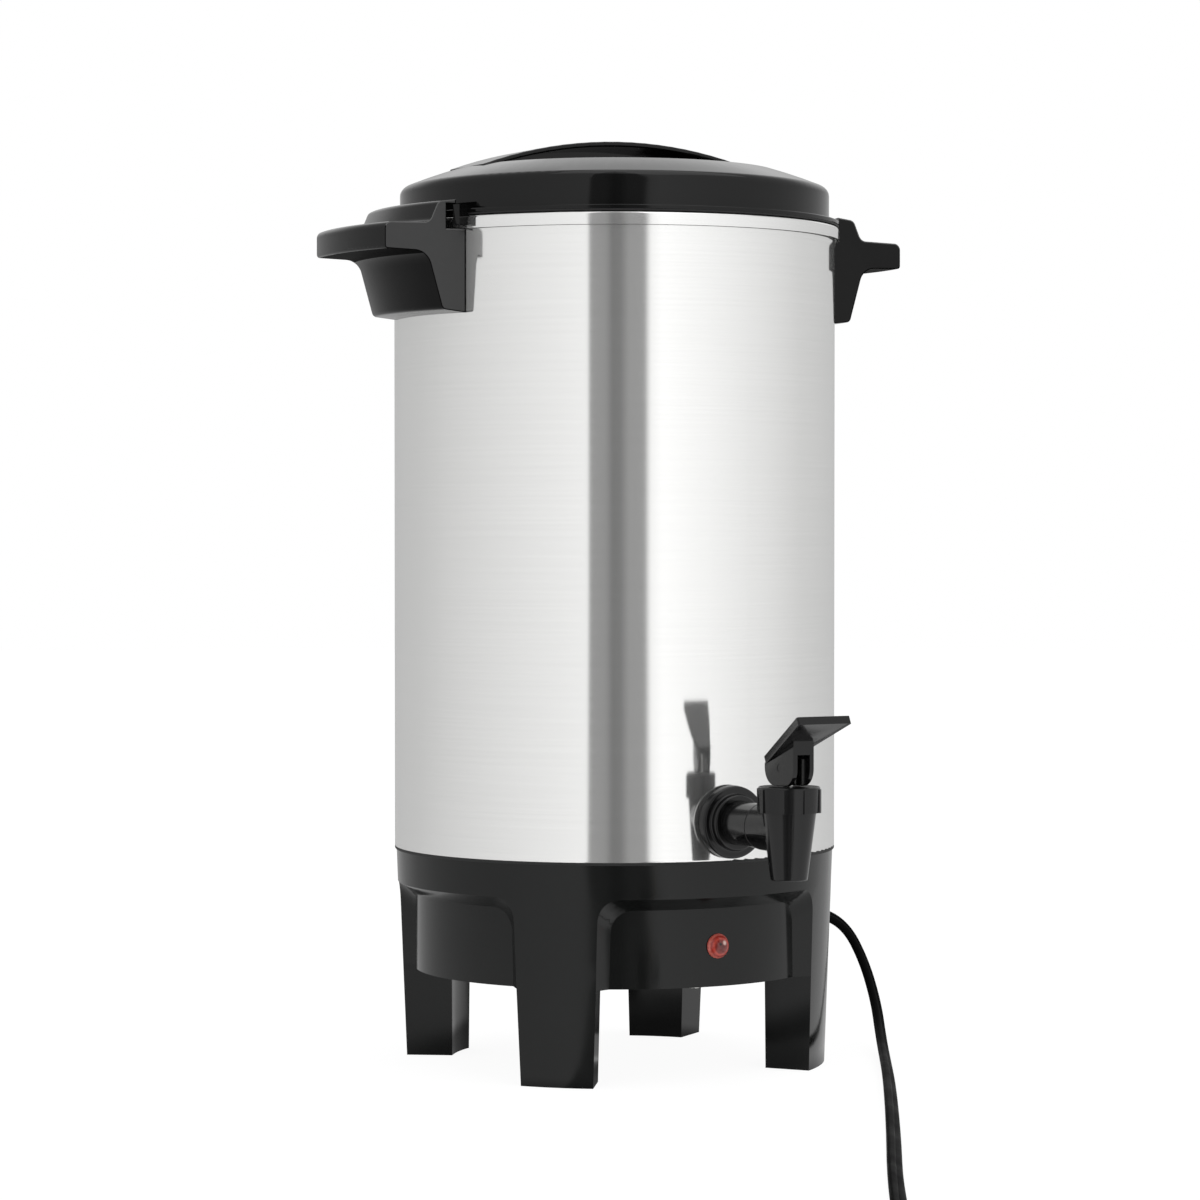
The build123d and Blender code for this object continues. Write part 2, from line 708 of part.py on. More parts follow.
# ======== Lid ========
seal_z = RIM_Z + LOOSE_GAP
brim_z = seal_z + SEAL_T
brim_r = RIM_R
dish_z = RIM_Z + DISH_UP
seal_in = SKIRT_R + LOOSE_GAP
with BuildPart() as lid_seal:
    with BuildSketch(Plane.XZ):
        with BuildLine():
            Polyline(
                (seal_in, brim_z), (RIM_R - LOOSE_GAP, brim_z), (RIM_R - LOOSE_GAP, seal_z),
                (TANK_IN - LOOSE_GAP - 0.4, seal_z), (TANK_IN - LOOSE_GAP - 1.0, brim_z - SEAL_LIP),
                (seal_in, brim_z - SEAL_LIP), close=True,
            )
        make_face()
    revolve(axis=Axis.Z)
save(lid_seal, "lid_seal")


def lid_face(inset, low_z):
    """Half-section of the lid under its dome; an inset gives the hollow inside its wall."""
    band = BAND_R - inset
    edge = RECESS_R + inset
    floor = dish_z - inset
    with BuildSketch(Plane.XZ) as face:
        with BuildLine():
            Polyline((0, floor), (0, low_z), (band, low_z), (band, dome_z(band, inset)))
            dome_mid = (band + edge) / 2
            ThreePointArc((band, dome_z(band, inset)), (dome_mid, dome_z(dome_mid, inset)),
                          (edge, dome_z(edge, inset)))
            Polyline((edge, dome_z(edge, inset)), (DISH_R + inset, floor), (0, floor))
        make_face()
        corners = face.vertices()
        fillet(corners.sort_by_distance((band, dome_z(band, inset)))[0], SHOULDER_R - inset / 2)
        corners = face.vertices()
        fillet(corners.sort_by_distance((edge, dome_z(edge, inset)))[0], 1.2 + inset / 2)
        corners = face.vertices()
        fillet(corners.sort_by_distance((DISH_R + inset, floor))[0], 10.0)
    return face.sketch


bar_end_r = RECESS_R + 2.5
bar_top_z = RIM_Z + BAR_UP
with BuildPart() as lid_bar:
    # The bridge across the dish, a little prouder than the dome.
    with BuildSketch(Plane.XZ):
        with BuildLine():
            top = ThreePointArc((-bar_end_r, dome_z(bar_end_r)), (0, bar_top_z),
                                (bar_end_r, dome_z(bar_end_r)))
            low = ThreePointArc((-bar_end_r, dome_z(bar_end_r) - BAR_T), (0, bar_top_z - BAR_T),
                                (bar_end_r, dome_z(bar_end_r) - BAR_T))
            Line(top @ 0, low @ 0)
            Line(top @ 1, low @ 1)
        make_face()
    extrude(amount=BAR_HALF, both=True)
    fillet(lid_bar.edges().filter_by(lambda e: e.length > RECESS_R), BAR_T * 0.35)
    # The web that carries it, down to the dish.
    with BuildSketch(Plane.XZ):
        with BuildLine():
            low = ThreePointArc((-bar_end_r, dome_z(bar_end_r) - BAR_T / 2), (0, bar_top_z - BAR_T / 2),
                                (bar_end_r, dome_z(bar_end_r) - BAR_T / 2))
            Polyline(low @ 0, (-bar_end_r, dish_z - 1), (bar_end_r, dish_z - 1), low @ 1)
        make_face()
    extrude(amount=WEB_HALF, both=True)

with BuildPart() as lid:
    add(lid_face(0, brim_z))
    revolve(axis=Axis.Z)
    with BuildSketch(Plane.XZ):
        with BuildLine():
            FilletPolyline((BAND_R - 1, brim_z + BRIM_T), (brim_r, brim_z + BRIM_T), (brim_r, brim_z),
                           (BAND_R - 1, brim_z), radius=[0.7, 0.4])
            Line((BAND_R - 1, brim_z), (BAND_R - 1, brim_z + BRIM_T))
        make_face()
    revolve(axis=Axis.Z)
    add(lid_bar.part)
    add(lid_face(LID_WALL, brim_z - 1))
    revolve(axis=Axis.Z, mode=Mode.SUBTRACT)
    # The skirt that centres the lid inside the tank's mouth.
    with BuildSketch(Plane.XZ):
        with BuildLine():
            Polyline((SKIRT_R - SKIRT_T, brim_z + LID_WALL), (BAND_R - 1, brim_z + LID_WALL),
                     (BAND_R - 1, brim_z), (SKIRT_R, brim_z), (SKIRT_R, brim_z - SKIRT_H),
                     (SKIRT_R - SKIRT_T, brim_z - SKIRT_H), close=True)
        make_face()
    revolve(axis=Axis.Z)
    # Two lock lugs, each beside a handle's slot; they turn in under the jaws.
    lug_in = RIM_R + LOOSE_GAP + 0.1
    lug_out = SLOT_R - LUG_GAP
    for azimuth in (0, 180):
        with BuildSketch(meridian(azimuth + LUG_START)):
            with BuildLine():
                Polyline(
                    (BAND_R - 1, brim_z), (lug_in, brim_z), (lug_in, RIM_Z - LUG_REACH),
                    (lug_out, RIM_Z - LUG_REACH), (lug_out, RIM_Z + LUG_REACH),
                    (BAND_R - 1, RIM_Z + LUG_REACH), close=True,
                )
            make_face()
        revolve(axis=Axis.Z, revolution_arc=LUG_ANGLE)
save(lid, "lid")

# ======== Percolator ========
foot_z = WELL_Z + LOOSE_GAP
tube_top_z = RIM_Z + TUBE_TOP_UP
basket_z = RIM_Z - BASKET_DOWN
with BuildPart() as perc_tube:
    with BuildSketch(Plane.XY.offset(foot_z + 4)):
        Circle(TUBE_R)
        Circle(TUBE_R - TUBE_WALL, mode=Mode.SUBTRACT)
    extrude(amount=tube_top_z - foot_z - 4)
save(perc_tube, "perc_tube")

with BuildPart() as perc_foot:
    # A bell over the well's floor, with inlets round its edge.
    with BuildSketch(Plane.XZ):
        with BuildLine():
            FilletPolyline(
                (FOOT_R, foot_z), (FOOT_R, foot_z + 6), (FOOT_R * 0.45, foot_z + FOOT_H * 0.55),
                (TUBE_R + RUN_GAP + HUB_T, foot_z + FOOT_H * 0.7),
                (TUBE_R + RUN_GAP + HUB_T, foot_z + FOOT_H),
                radius=[3.0, 6.0, 3.0],
            )
            Polyline(
                (TUBE_R + RUN_GAP + HUB_T, foot_z + FOOT_H), (TUBE_R + RUN_GAP, foot_z + FOOT_H),
                (TUBE_R + RUN_GAP, foot_z + FOOT_H * 0.45), (FOOT_R - 3, foot_z + 3),
                (FOOT_R - 1, foot_z), (FOOT_R, foot_z),
            )
        make_face()
    revolve(axis=Axis.Z)
    with BuildSketch(Plane.XY.offset(foot_z - 1)):
        with PolarLocations(FOOT_R, 6):
            Rectangle(8, 6)
    extrude(amount=3, mode=Mode.SUBTRACT)
save(perc_foot, "perc_foot")

with BuildPart() as basket_collar:
    # The ring pressed on the tube, which the basket's floor rests on.
    with BuildSketch(Plane.XY.offset(basket_z - COLLAR_T)):
        Circle(TUBE_R + 3.5)
        Circle(TUBE_R + FIXED_GAP / 2, mode=Mode.SUBTRACT)
    extrude(amount=COLLAR_T)
save(basket_collar, "basket_collar")

basket_rings = [(BASKET_R * share, 6 * ring)
                for ring, share in enumerate((0.28, 0.45, 0.62, 0.79), start=2)]
hub_in = TUBE_R + RUN_GAP
hub_r = hub_in + HUB_T
with BuildPart() as basket:
    with BuildSketch(Plane.XZ):
        with BuildLine():
            FilletPolyline(
                (hub_r - BASKET_SHEET, basket_z + BASKET_SHEET),
                (BASKET_R - BASKET_SHEET, basket_z + BASKET_SHEET),
                (BASKET_R - BASKET_SHEET, basket_z + BASKET_H), (BASKET_R + 2.4, basket_z + BASKET_H),
                radius=[4.0, 1.2],
            )
            offset(amount=BASKET_SHEET, side=Side.RIGHT)
        make_face()
    revolve(axis=Axis.Z)
    with BuildSketch(Plane.XY.offset(basket_z)):
        Circle(hub_r)
        Circle(hub_in, mode=Mode.SUBTRACT)
    extrude(amount=HUB_H)
    with BuildSketch(Plane.XY.offset(basket_z - 1)):
        for ring_r, count in basket_rings:
            with PolarLocations(ring_r, count):
                Circle(HOLE_R)
    extrude(amount=BASKET_SHEET + 2, mode=Mode.SUBTRACT)
save(basket, "basket")

cover_z = basket_z + BASKET_H
cover_in = TUBE_R + LOOSE_GAP
with BuildPart() as basket_lid:
    # A perforated spreader, dished round its middle, resting on the basket's edge.
    with BuildSketch(Plane.XZ):
        with BuildLine():
            FilletPolyline(
                (cover_in, cover_z + 1.0), (BASKET_R * 0.5, cover_z + 1.0),
                (BASKET_R * 0.62, cover_z + BASKET_SHEET), (BASKET_R + 2.4, cover_z + BASKET_SHEET),
                (BASKET_R + 2.4, cover_z + COVER_RIM),
                radius=[3.0, 3.0, 1.2],
            )
            offset(amount=BASKET_SHEET, side=Side.RIGHT)
        make_face()
    revolve(axis=Axis.Z)
    with BuildSketch(Plane.XY.offset(cover_z - 1)):
        for ring_r, count in basket_rings[:-1]:
            with PolarLocations(ring_r, count):
                Circle(HOLE_R)
    extrude(amount=4, mode=Mode.SUBTRACT)
save(basket_lid, "basket_lid")

# ======== Tap ========
tap_y = -(TANK_R + TAP_REACH)
tap_axis = Axis((0, tap_y, 0), (0, 0, 1))
bore_axis = Axis((0, 0, TAP_Z), (0, -1, 0))
bonnet_top_z = SEAM_Z + BONNET_TOP_UP
bonnet_z = bonnet_top_z - BONNET_H
spout_z = SEAM_Z - SPOUT_DROP
seat_z = SEAM_Z + SEAT_UP
pivot_z = bonnet_top_z + LOOSE_GAP + CAM_R
thread_top_z = bonnet_top_z - BONNET_TOP
flange_y = TANK_R + GASKET_T

with BuildPart() as tap_gasket_outer:
    with BuildSketch(Plane.XZ.offset(TANK_R - 4)):
        with Locations((0, TAP_Z)):
            Circle(GASKET_R)
            Circle(SHANK_R + FIXED_GAP, mode=Mode.SUBTRACT)
    extrude(amount=GASKET_T + 4)
    with BuildSketch(Plane.XY.offset(TAP_Z - 2 * FLANGE_R)):
        Circle(TANK_R + FIXED_GAP)
    extrude(amount=4 * FLANGE_R, mode=Mode.SUBTRACT)
save(tap_gasket_outer, "tap_gasket_outer")

with BuildPart() as tap_flange:
    with BuildSketch(meridian(-90)):
        with BuildLine():
            low = TAP_Z + SHANK_R + FIXED_GAP
            FilletPolyline(
                (flange_y, low), (flange_y, TAP_Z + FLANGE_R),
                (flange_y + FLANGE_T, TAP_Z + FLANGE_R - 0.4),
                (flange_y + FLANGE_T, TAP_Z + STEP_R),
                (flange_y + FLANGE_T + STEP_T, TAP_Z + STEP_R - 0.6),
                (flange_y + FLANGE_T + STEP_T, low),
                radius=[0.4, 1.4, 1.2, 1.2],
            )
            Line((flange_y + FLANGE_T + STEP_T, low), (flange_y, low))
        make_face()
    revolve(axis=bore_axis)
save(tap_flange, "tap_flange")

gasket_in_y = sqrt(TANK_IN ** 2 - (NUT_AF / 2 + 1.5) ** 2) - 1.2
with BuildPart() as tap_gasket_inner:
    with BuildSketch(Plane.XZ.offset(gasket_in_y)):
        with Locations((0, TAP_Z)):
            Circle(NUT_AF / 2 + 1.5)
            Circle(SHANK_R + FIXED_GAP, mode=Mode.SUBTRACT)
    extrude(amount=6)
    with BuildSketch(Plane.XY.offset(TAP_Z - 2 * FLANGE_R)):
        Circle(TANK_IN - FIXED_GAP)
    extrude(amount=4 * FLANGE_R, mode=Mode.INTERSECT)
save(tap_gasket_inner, "tap_gasket_inner")

with BuildPart() as tap_nut:
    with BuildSketch(Plane.XZ.offset(gasket_in_y - NUT_T)):
        with Locations((0, TAP_Z)):
            RegularPolygon(NUT_AF / 2, 6, major_radius=False)
            Circle(SHANK_R + FIXED_GAP / 2, mode=Mode.SUBTRACT)
    extrude(amount=NUT_T)
save(tap_nut, "tap_nut")

shank_step_y = -tap_y - COLLAR_L
with BuildPart() as tap_body:
    # The barrel, tapering down to the spout, with the threaded neck for the bonnet.
    with BuildSketch(Plane.XZ.offset(-tap_y)):
        with BuildLine():
            Polyline(
                (0, thread_top_z), (THREAD_R, thread_top_z), (THREAD_R, bonnet_z),
                (BARREL_TOP_R, bonnet_z), (BARREL_LOW_R, spout_z), (0, spout_z), close=True,
            )
        make_face()
        fillet(vertices().group_by(Axis.Y)[0].sort_by(Axis.X)[-1], 0.8)
    revolve(axis=tap_axis)
    with BuildSketch(meridian(-90)):
        with BuildLine():
            FilletPolyline(
                (gasket_in_y - SHANK_IN, TAP_Z), (gasket_in_y - SHANK_IN, TAP_Z + SHANK_R),
                (shank_step_y, TAP_Z + SHANK_R), (shank_step_y, TAP_Z + COLLAR_R),
                (-tap_y, TAP_Z + COLLAR_R), (-tap_y, TAP_Z),
                radius=[0.8, 0.2, 0.6, 0.2],
            )
            Line((-tap_y, TAP_Z), (gasket_in_y - SHANK_IN, TAP_Z))
        make_face()
    revolve(axis=bore_axis)
    # A spot face round the neck for the bonnet.
    with BuildSketch(Plane.XY.offset(bonnet_z)):
        with Locations((0, tap_y)):
            Circle(BONNET_R + LOOSE_GAP)
            Circle(THREAD_R, mode=Mode.SUBTRACT)
    extrude(amount=BONNET_H, mode=Mode.SUBTRACT)
    # The waterway: along the shank, up to the chamber and down past the seat.
    with BuildSketch(Plane.XZ.offset(gasket_in_y - SHANK_IN - 1)):
        with Locations((0, TAP_Z)):
            Circle(SHANK_BORE)
    extrude(amount=-tap_y - gasket_in_y + SHANK_IN, mode=Mode.SUBTRACT)
    with BuildSketch(Plane.XZ.offset(-tap_y)):
        with BuildLine():
            Polyline(
                (0, thread_top_z), (CHAMBER_R, thread_top_z), (CHAMBER_R, seat_z),
                (SEAT_BORE, seat_z), (SEAT_BORE, seat_z - 2), (SPOUT_BORE, seat_z - SPOUT_THROAT),
                (SPOUT_BORE, spout_z), (0, spout_z), close=True,
            )
        make_face()
    revolve(axis=tap_axis, mode=Mode.SUBTRACT)
save(tap_body, "tap_body")

with BuildPart() as tap_bonnet:
    with BuildSketch(Plane.XZ.offset(-tap_y)):
        with BuildLine():
            Polyline(
                (STEM_R + RUN_GAP, bonnet_top_z), (BONNET_R - RIB_OUT, bonnet_top_z),
                (BONNET_R - RIB_OUT - BONNET_TAPER, bonnet_z), (THREAD_R + FIXED_GAP, bonnet_z),
                (THREAD_R + FIXED_GAP, thread_top_z), (STEM_R + RUN_GAP, thread_top_z), close=True,
            )
        make_face()
        fillet(vertices().group_by(Axis.Y)[-1].sort_by(Axis.X)[-1], 0.8)
    revolve(axis=tap_axis)
    with BuildSketch(Plane.XY.offset(bonnet_z)):
        with Locations((0, tap_y)):
            with PolarLocations(BONNET_R - RIB_OUT - 1, RIBS, start_angle=-90):
                Rectangle(2 * RIB_OUT + 2, RIB_W)
    extrude(amount=BONNET_H - 1.0)
    with BuildSketch(Plane.XY.offset(bonnet_z)):
        with Locations((0, tap_y)):
            Circle(THREAD_R + FIXED_GAP)
    extrude(amount=BONNET_H - BONNET_TOP, mode=Mode.SUBTRACT)
save(tap_bonnet, "tap_bonnet")

cup_z = seat_z + FIXED_GAP
with BuildPart() as seat_cup:
    with BuildSketch(Plane.XZ.offset(-tap_y)):
        with BuildLine():
            Polyline(
                (0, cup_z), (SEAT_BORE + 1.6, cup_z), (CUP_R, cup_z + 2), (CUP_R, cup_z + 3.4),
                (STEM_R + 1.6, cup_z + 5), (STEM_R + 1.6, cup_z + CUP_H),
                (STEM_R + 0.01, cup_z + CUP_H), (STEM_R + 0.01, cup_z + 3), (0, cup_z + 3), close=True,
            )
        make_face()
    revolve(axis=tap_axis)
save(seat_cup, "seat_cup")

tongue_z = pivot_z + PIN_R + 2.2
with BuildPart() as tap_stem:
    with BuildSketch(Plane.XY.offset(cup_z + 3)):
        with Locations((0, tap_y)):
            Circle(STEM_R)
    extrude(amount=tongue_z - cup_z - 3)
    with BuildSketch(Plane.YZ.offset(-STEM_R)):
        with Locations((tap_y, pivot_z)):
            Circle(PIN_R + FIXED_GAP / 2)
    extrude(amount=2 * STEM_R, mode=Mode.SUBTRACT)
save(tap_stem, "tap_stem")

spring_low_z = cup_z + 5.6
spring_turns_h = thread_top_z - spring_low_z - 2 * SPRING_WIRE - FIXED_GAP
with BuildPart() as tap_spring:
    with BuildLine():
        Helix(pitch=SPRING_PITCH, height=spring_turns_h, radius=SPRING_R,
              center=(0, tap_y, spring_low_z + SPRING_WIRE))
    with BuildSketch(Plane(origin=(SPRING_R, tap_y, spring_low_z + SPRING_WIRE), z_dir=(0, 1, 0.08))):
        Circle(SPRING_WIRE)
    sweep(is_frenet=True)
save(tap_spring, "tap_spring")

slope = tan(radians(PADDLE_SLOPE))
paddle_low = pivot_z + PADDLE_RISE - PADDLE_T / cos(radians(PADDLE_SLOPE))
with BuildPart() as tap_lever:
    # Two cheeks with a cam's flat and round corners underneath.
    with BuildSketch(Plane.YZ.offset(-CHEEK_OUT)):
        with BuildLine():
            cheek = CAM_R + CAM_FLAT
            Polyline(
                (tap_y - cheek, pivot_z - CAM_R), (tap_y + cheek, pivot_z - CAM_R),
                (tap_y + cheek, paddle_low + slope * (-PADDLE_BACK - cheek) + 1),
                (tap_y - cheek, paddle_low + slope * (-PADDLE_BACK + cheek) + 1), close=True,
            )
        make_face()
        fillet(vertices().group_by(Axis.Y)[0], CAM_R - 0.01)
    extrude(amount=2 * CHEEK_OUT)
    slot_half = CHEEK_OUT - CHEEK_T
    with BuildSketch(Plane.XY.offset(pivot_z - CAM_R - 1)):
        with Locations((0, tap_y)):
            Rectangle(2 * slot_half, 4 * CAM_R)
    extrude(amount=tongue_z + 2.5 - pivot_z + CAM_R + 1, mode=Mode.SUBTRACT)
    # The paddle, rising to the front and widening.
    paddle_plane = Plane(origin=(0, tap_y - PADDLE_BACK, pivot_z + PADDLE_RISE), x_dir=(1, 0, 0),
                         z_dir=(0, sin(radians(PADDLE_SLOPE)), cos(radians(PADDLE_SLOPE))))
    run = (PADDLE_FRONT - PADDLE_BACK) / cos(radians(PADDLE_SLOPE))
    with BuildSketch(paddle_plane):
        with BuildLine():
            Polyline((-PADDLE_BACK_HALF, 0), (PADDLE_BACK_HALF, 0), (PADDLE_FRONT_HALF, -run),
                     (-PADDLE_FRONT_HALF, -run), close=True)
        make_face()
        fillet(vertices().group_by(Axis.Y)[0], 0.8)
    extrude(amount=-PADDLE_T)
    with BuildSketch(Plane.YZ.offset(-CHEEK_OUT)):
        with Locations((tap_y, pivot_z)):
            Circle(PIN_R + RUN_GAP)
    extrude(amount=2 * CHEEK_OUT, mode=Mode.SUBTRACT)
save(tap_lever, "tap_lever")

with BuildPart() as lever_pin:
    with BuildSketch(Plane.YZ.offset(-CHEEK_OUT + 0.2)):
        with Locations((tap_y, pivot_z)):
            Circle(PIN_R)
    extrude(amount=2 * CHEEK_OUT - 0.4)
save(lever_pin, "lever_pin")

# ======== Cord and plug ========
floor_z = CORD_D / 2 + FLOOR_CLEAR
route = [
    (cord_x, 0, RELIEF_Z),
    (115, 0, RELIEF_Z),
    (131.5, -1, 57),
    (138.5, -7, 39.5),
    (135, -23, 21),
    (122, -47, 7),
    (102, -80, floor_z),
    (66.5, -136.3, floor_z),
    (19.4, -208.7, floor_z),
    (-27.9, -280.5, floor_z),
    (-75.7, -352.2, floor_z),
    (-122, -425, floor_z),
    (-150, -474, floor_z),
]
corner_radii = []
for before, corner, after in zip(route, route[1:], route[2:]):
    first = Vector(corner) - Vector(before)
    second = Vector(after) - Vector(corner)
    turn = first.get_angle(second)
    shorter = min(first.length, second.length)
    corner_radii.append(0.45 * shorter / tan(radians(turn / 2)))
print("cord corner radii", [round(r, 1) for r in corner_radii])

with BuildPart() as cord_tube:
    with BuildLine() as cord_path:
        FilletPolyline(*route, radius=corner_radii)
    with BuildSketch(Plane(origin=route[0], z_dir=cord_path.line % 0)):
        Circle(CORD_D / 2)
    sweep()
cord_length = sum(edge.length for edge in cord_path.edges())
print("cord tube length", round(cord_length, 1), "volume over section times length",
      round(cord_tube.part.volume / (pi * CORD_D ** 2 / 4 * cord_length), 5))
save(cord_tube, "cord_tube")

last_run = (Vector(route[-1]) - Vector(route[-2])).normalized()
side_way = Vector(-last_run.Y, last_run.X, 0)
coil_outer = COIL_MEAN + COIL_HALF
coil_centre = Vector(route[-1]) + side_way * (coil_outer - CORD_D / 2 - 1)
coil_h = floor_z + CORD_D / 2
with BuildPart() as cord_coil:
    with BuildSketch(Plane.XY):
        with Locations((coil_centre.X, coil_centre.Y)):
            Circle(coil_outer)
            Circle(COIL_MEAN - COIL_HALF, mode=Mode.SUBTRACT)
    extrude(amount=coil_h)
save(cord_coil, "cord_coil")

# The plug lies on the coil, along a tangent of its far half.
plug_dir = side_way
plug_mid = coil_centre + last_run * COIL_MEAN
plug_plane = Plane(origin=(plug_mid.X, plug_mid.Y, coil_h), x_dir=plug_dir, z_dir=(0, 0, 1))
with BuildPart() as plug_body:
    with BuildSketch(plug_plane):
        with BuildLine():
            Polyline((-PLUG_L / 2, -PLUG_W * 0.22), (-PLUG_L * 0.1, -PLUG_W / 2),
                     (PLUG_L / 2, -PLUG_W / 2), (PLUG_L / 2, PLUG_W / 2),
                     (-PLUG_L * 0.1, PLUG_W / 2), (-PLUG_L / 2, PLUG_W * 0.22), close=True)
        make_face()
    extrude(amount=PLUG_T)
    fillet(plug_body.edges().filter_by(Axis.Z), 2.0)
    fillet(plug_body.faces().sort_by(Axis.Z)[-1].edges(), 1.5)
save(plug_body, "plug_body")

blade_plane = Plane(origin=plug_plane.origin + plug_dir * PLUG_L / 2 + Vector(0, 0, PLUG_T / 2),
                    x_dir=(-plug_dir.Y, plug_dir.X, 0), z_dir=plug_dir)
with BuildPart() as plug_blades:
    with BuildSketch(blade_plane):
        with Locations((-BLADE_GAP / 2, 0), (BLADE_GAP / 2, 0)):
            Rectangle(BLADE_T, BLADE_W)
    extrude(amount=BLADE_L)
save(plug_blades, "plug_blades")
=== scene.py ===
import json
from math import atan2, cos, hypot, pi, radians, sin

import bmesh
import bpy
from mathutils import Matrix, Vector


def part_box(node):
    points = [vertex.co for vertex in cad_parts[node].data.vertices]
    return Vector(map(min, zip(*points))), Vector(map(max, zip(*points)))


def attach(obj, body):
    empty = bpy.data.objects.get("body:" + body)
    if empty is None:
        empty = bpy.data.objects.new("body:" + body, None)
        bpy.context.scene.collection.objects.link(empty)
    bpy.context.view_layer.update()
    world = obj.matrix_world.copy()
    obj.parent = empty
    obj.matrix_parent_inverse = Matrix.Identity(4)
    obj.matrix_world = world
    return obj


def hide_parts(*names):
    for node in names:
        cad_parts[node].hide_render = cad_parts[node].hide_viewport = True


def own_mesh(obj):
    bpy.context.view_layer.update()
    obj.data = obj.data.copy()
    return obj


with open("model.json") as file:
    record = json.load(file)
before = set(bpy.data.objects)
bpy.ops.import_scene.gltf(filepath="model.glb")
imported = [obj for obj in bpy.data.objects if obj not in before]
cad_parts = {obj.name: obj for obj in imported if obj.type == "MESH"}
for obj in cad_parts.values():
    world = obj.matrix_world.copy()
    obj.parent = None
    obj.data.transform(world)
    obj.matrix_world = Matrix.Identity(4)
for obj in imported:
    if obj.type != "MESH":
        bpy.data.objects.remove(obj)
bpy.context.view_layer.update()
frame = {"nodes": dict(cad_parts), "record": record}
nodes = frame["nodes"]
scene = bpy.context.scene
MM = 0.001

# ---------------------------------------------------------------- camera

VIEW_SIDE = radians(-29.7)  # how far round from the front the eye stands
EYE_HEIGHT, EYE_AWAY = 0.2545, 1.787
TILT_DOWN, TURN_LEFT = radians(1.12), radians(0.222)
FOCAL_LENGTH, SENSOR_WIDTH = 112.05, 36

camera_data = bpy.data.cameras.new("camera")
camera_data.sensor_fit = "HORIZONTAL"
camera_data.sensor_width = SENSOR_WIDTH
camera_data.lens = FOCAL_LENGTH
camera = bpy.data.objects.new("camera", camera_data)
eye = Matrix.Rotation(VIEW_SIDE, 3, "Z") @ Vector((0, -EYE_AWAY, 0))
camera.location = eye + Vector((0, 0, EYE_HEIGHT))
camera.rotation_euler = (radians(90) - TILT_DOWN, 0, VIEW_SIDE + TURN_LEFT)
bpy.context.collection.objects.link(camera)
scene.camera = camera

# ---------------------------------------------------------------- helpers


def piece(name, bm, body, sharp=35):
    """Make a finished piece of a bmesh and hang it on its body."""
    mesh = bpy.data.meshes.new(name)
    bm.to_mesh(mesh)
    bm.free()
    mesh.shade_smooth()
    mesh.set_sharp_from_angle(angle=radians(sharp))
    obj = bpy.data.objects.new(name, mesh)
    bpy.context.collection.objects.link(obj)
    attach(obj, body)
    return obj


def paint(obj, material):
    """Give a piece, or the node of that name, one finish all over."""
    if isinstance(obj, str):
        obj = nodes[obj]
    obj.data.materials.clear()
    obj.data.materials.append(material)


def recolour(obj, material, wanted):
    """Give another finish to the faces that wanted(centre, normal, edge) picks, in mm."""
    obj.data.materials.append(material)
    index = len(obj.data.materials) - 1
    marks = obj.data.attributes.get("edge")
    for face in obj.data.polygons:
        if wanted(face.center / MM, face.normal, marks.data[face.index].value if marks else 0):
            face.material_index = index


def even_shading(obj):
    """Flat faces stay flat beside rounded edges."""
    normals = obj.modifiers.new("even_shading", "WEIGHTED_NORMAL")
    normals.keep_sharp = True
    normals.weight = 80


def body_of(node):
    """The name of the body that the node belongs to."""
    bodies = frame["record"]["behaviour"]["bodies"]
    return next(body for body, names in bodies.items() if node in names)


def merged_copy(node):
    """The node's own shape with its triangles joined up and its flat faces whole."""
    bm = bmesh.new()
    bm.from_mesh(nodes[node].data)
    bmesh.ops.remove_doubles(bm, verts=bm.verts, dist=2e-6)
    bmesh.ops.dissolve_limit(bm, angle_limit=radians(0.05), verts=bm.verts, edges=bm.edges)
    return bm


CORNER = radians(28)  # an edge that turns more than this is rounded over


def eased(node, name, width, keep=None, detail=None):
    """The node's shape with its sharp edges rounded over, as a moulding has them."""
    bm = merged_copy(node)
    edges = [e for e in bm.edges if len(e.link_faces) == 2
             and e.calc_face_angle(0) > CORNER and (keep is None or keep(e))]
    bmesh.ops.bevel(bm, geom=edges, offset=width, offset_type="OFFSET", segments=3,
                    profile=0.5, affect="EDGES", clamp_overlap=True, material=-1)
    bmesh.ops.remove_doubles(bm, verts=bm.verts, dist=1e-6)
    if detail:
        detail(bm)
    obj = piece(name, bm, body_of(node))
    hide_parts(node)
    even_shading(obj)
    return obj


def turned(profile, segments, axis=(0, 0, 1), centre=(0, 0, 0), across=(1, 0, 0)):
    """A profile of (distance from the axis, height) points spun all the way round an axis."""
    up, out = Vector(axis), Vector(across)
    bm = bmesh.new()
    points = [bm.verts.new(Vector(centre) + out * r * MM + up * h * MM) for r, h in profile]
    edges = [bm.edges.new(pair) for pair in zip(points, points[1:])]
    bmesh.ops.spin(bm, geom=points + edges, cent=centre, axis=axis, angle=2 * pi, steps=segments,
                   use_merge=True, use_duplicate=False)
    bmesh.ops.remove_doubles(bm, verts=bm.verts, dist=2e-6)
    bmesh.ops.recalc_face_normals(bm, faces=bm.faces)
    return bm


def eased_share(value, start, end):
    """0 before start, 1 after end, and a gentle ramp between them."""
    share = min(max((value - start) / (end - start), 0.0), 1.0)
    return share * share * (3 - 2 * share)


def add_node(tree, kind, inputs=(), **settings):
    """A shader node with its settings, and with its inputs set or linked."""
    node = tree.nodes.new(kind)
    for key, value in settings.items():
        setattr(node, key, value)
    for key, value in dict(inputs).items():
        if isinstance(value, bpy.types.NodeSocket):
            tree.links.new(value, node.inputs[key])
        else:
            node.inputs[key].default_value = value
    return node


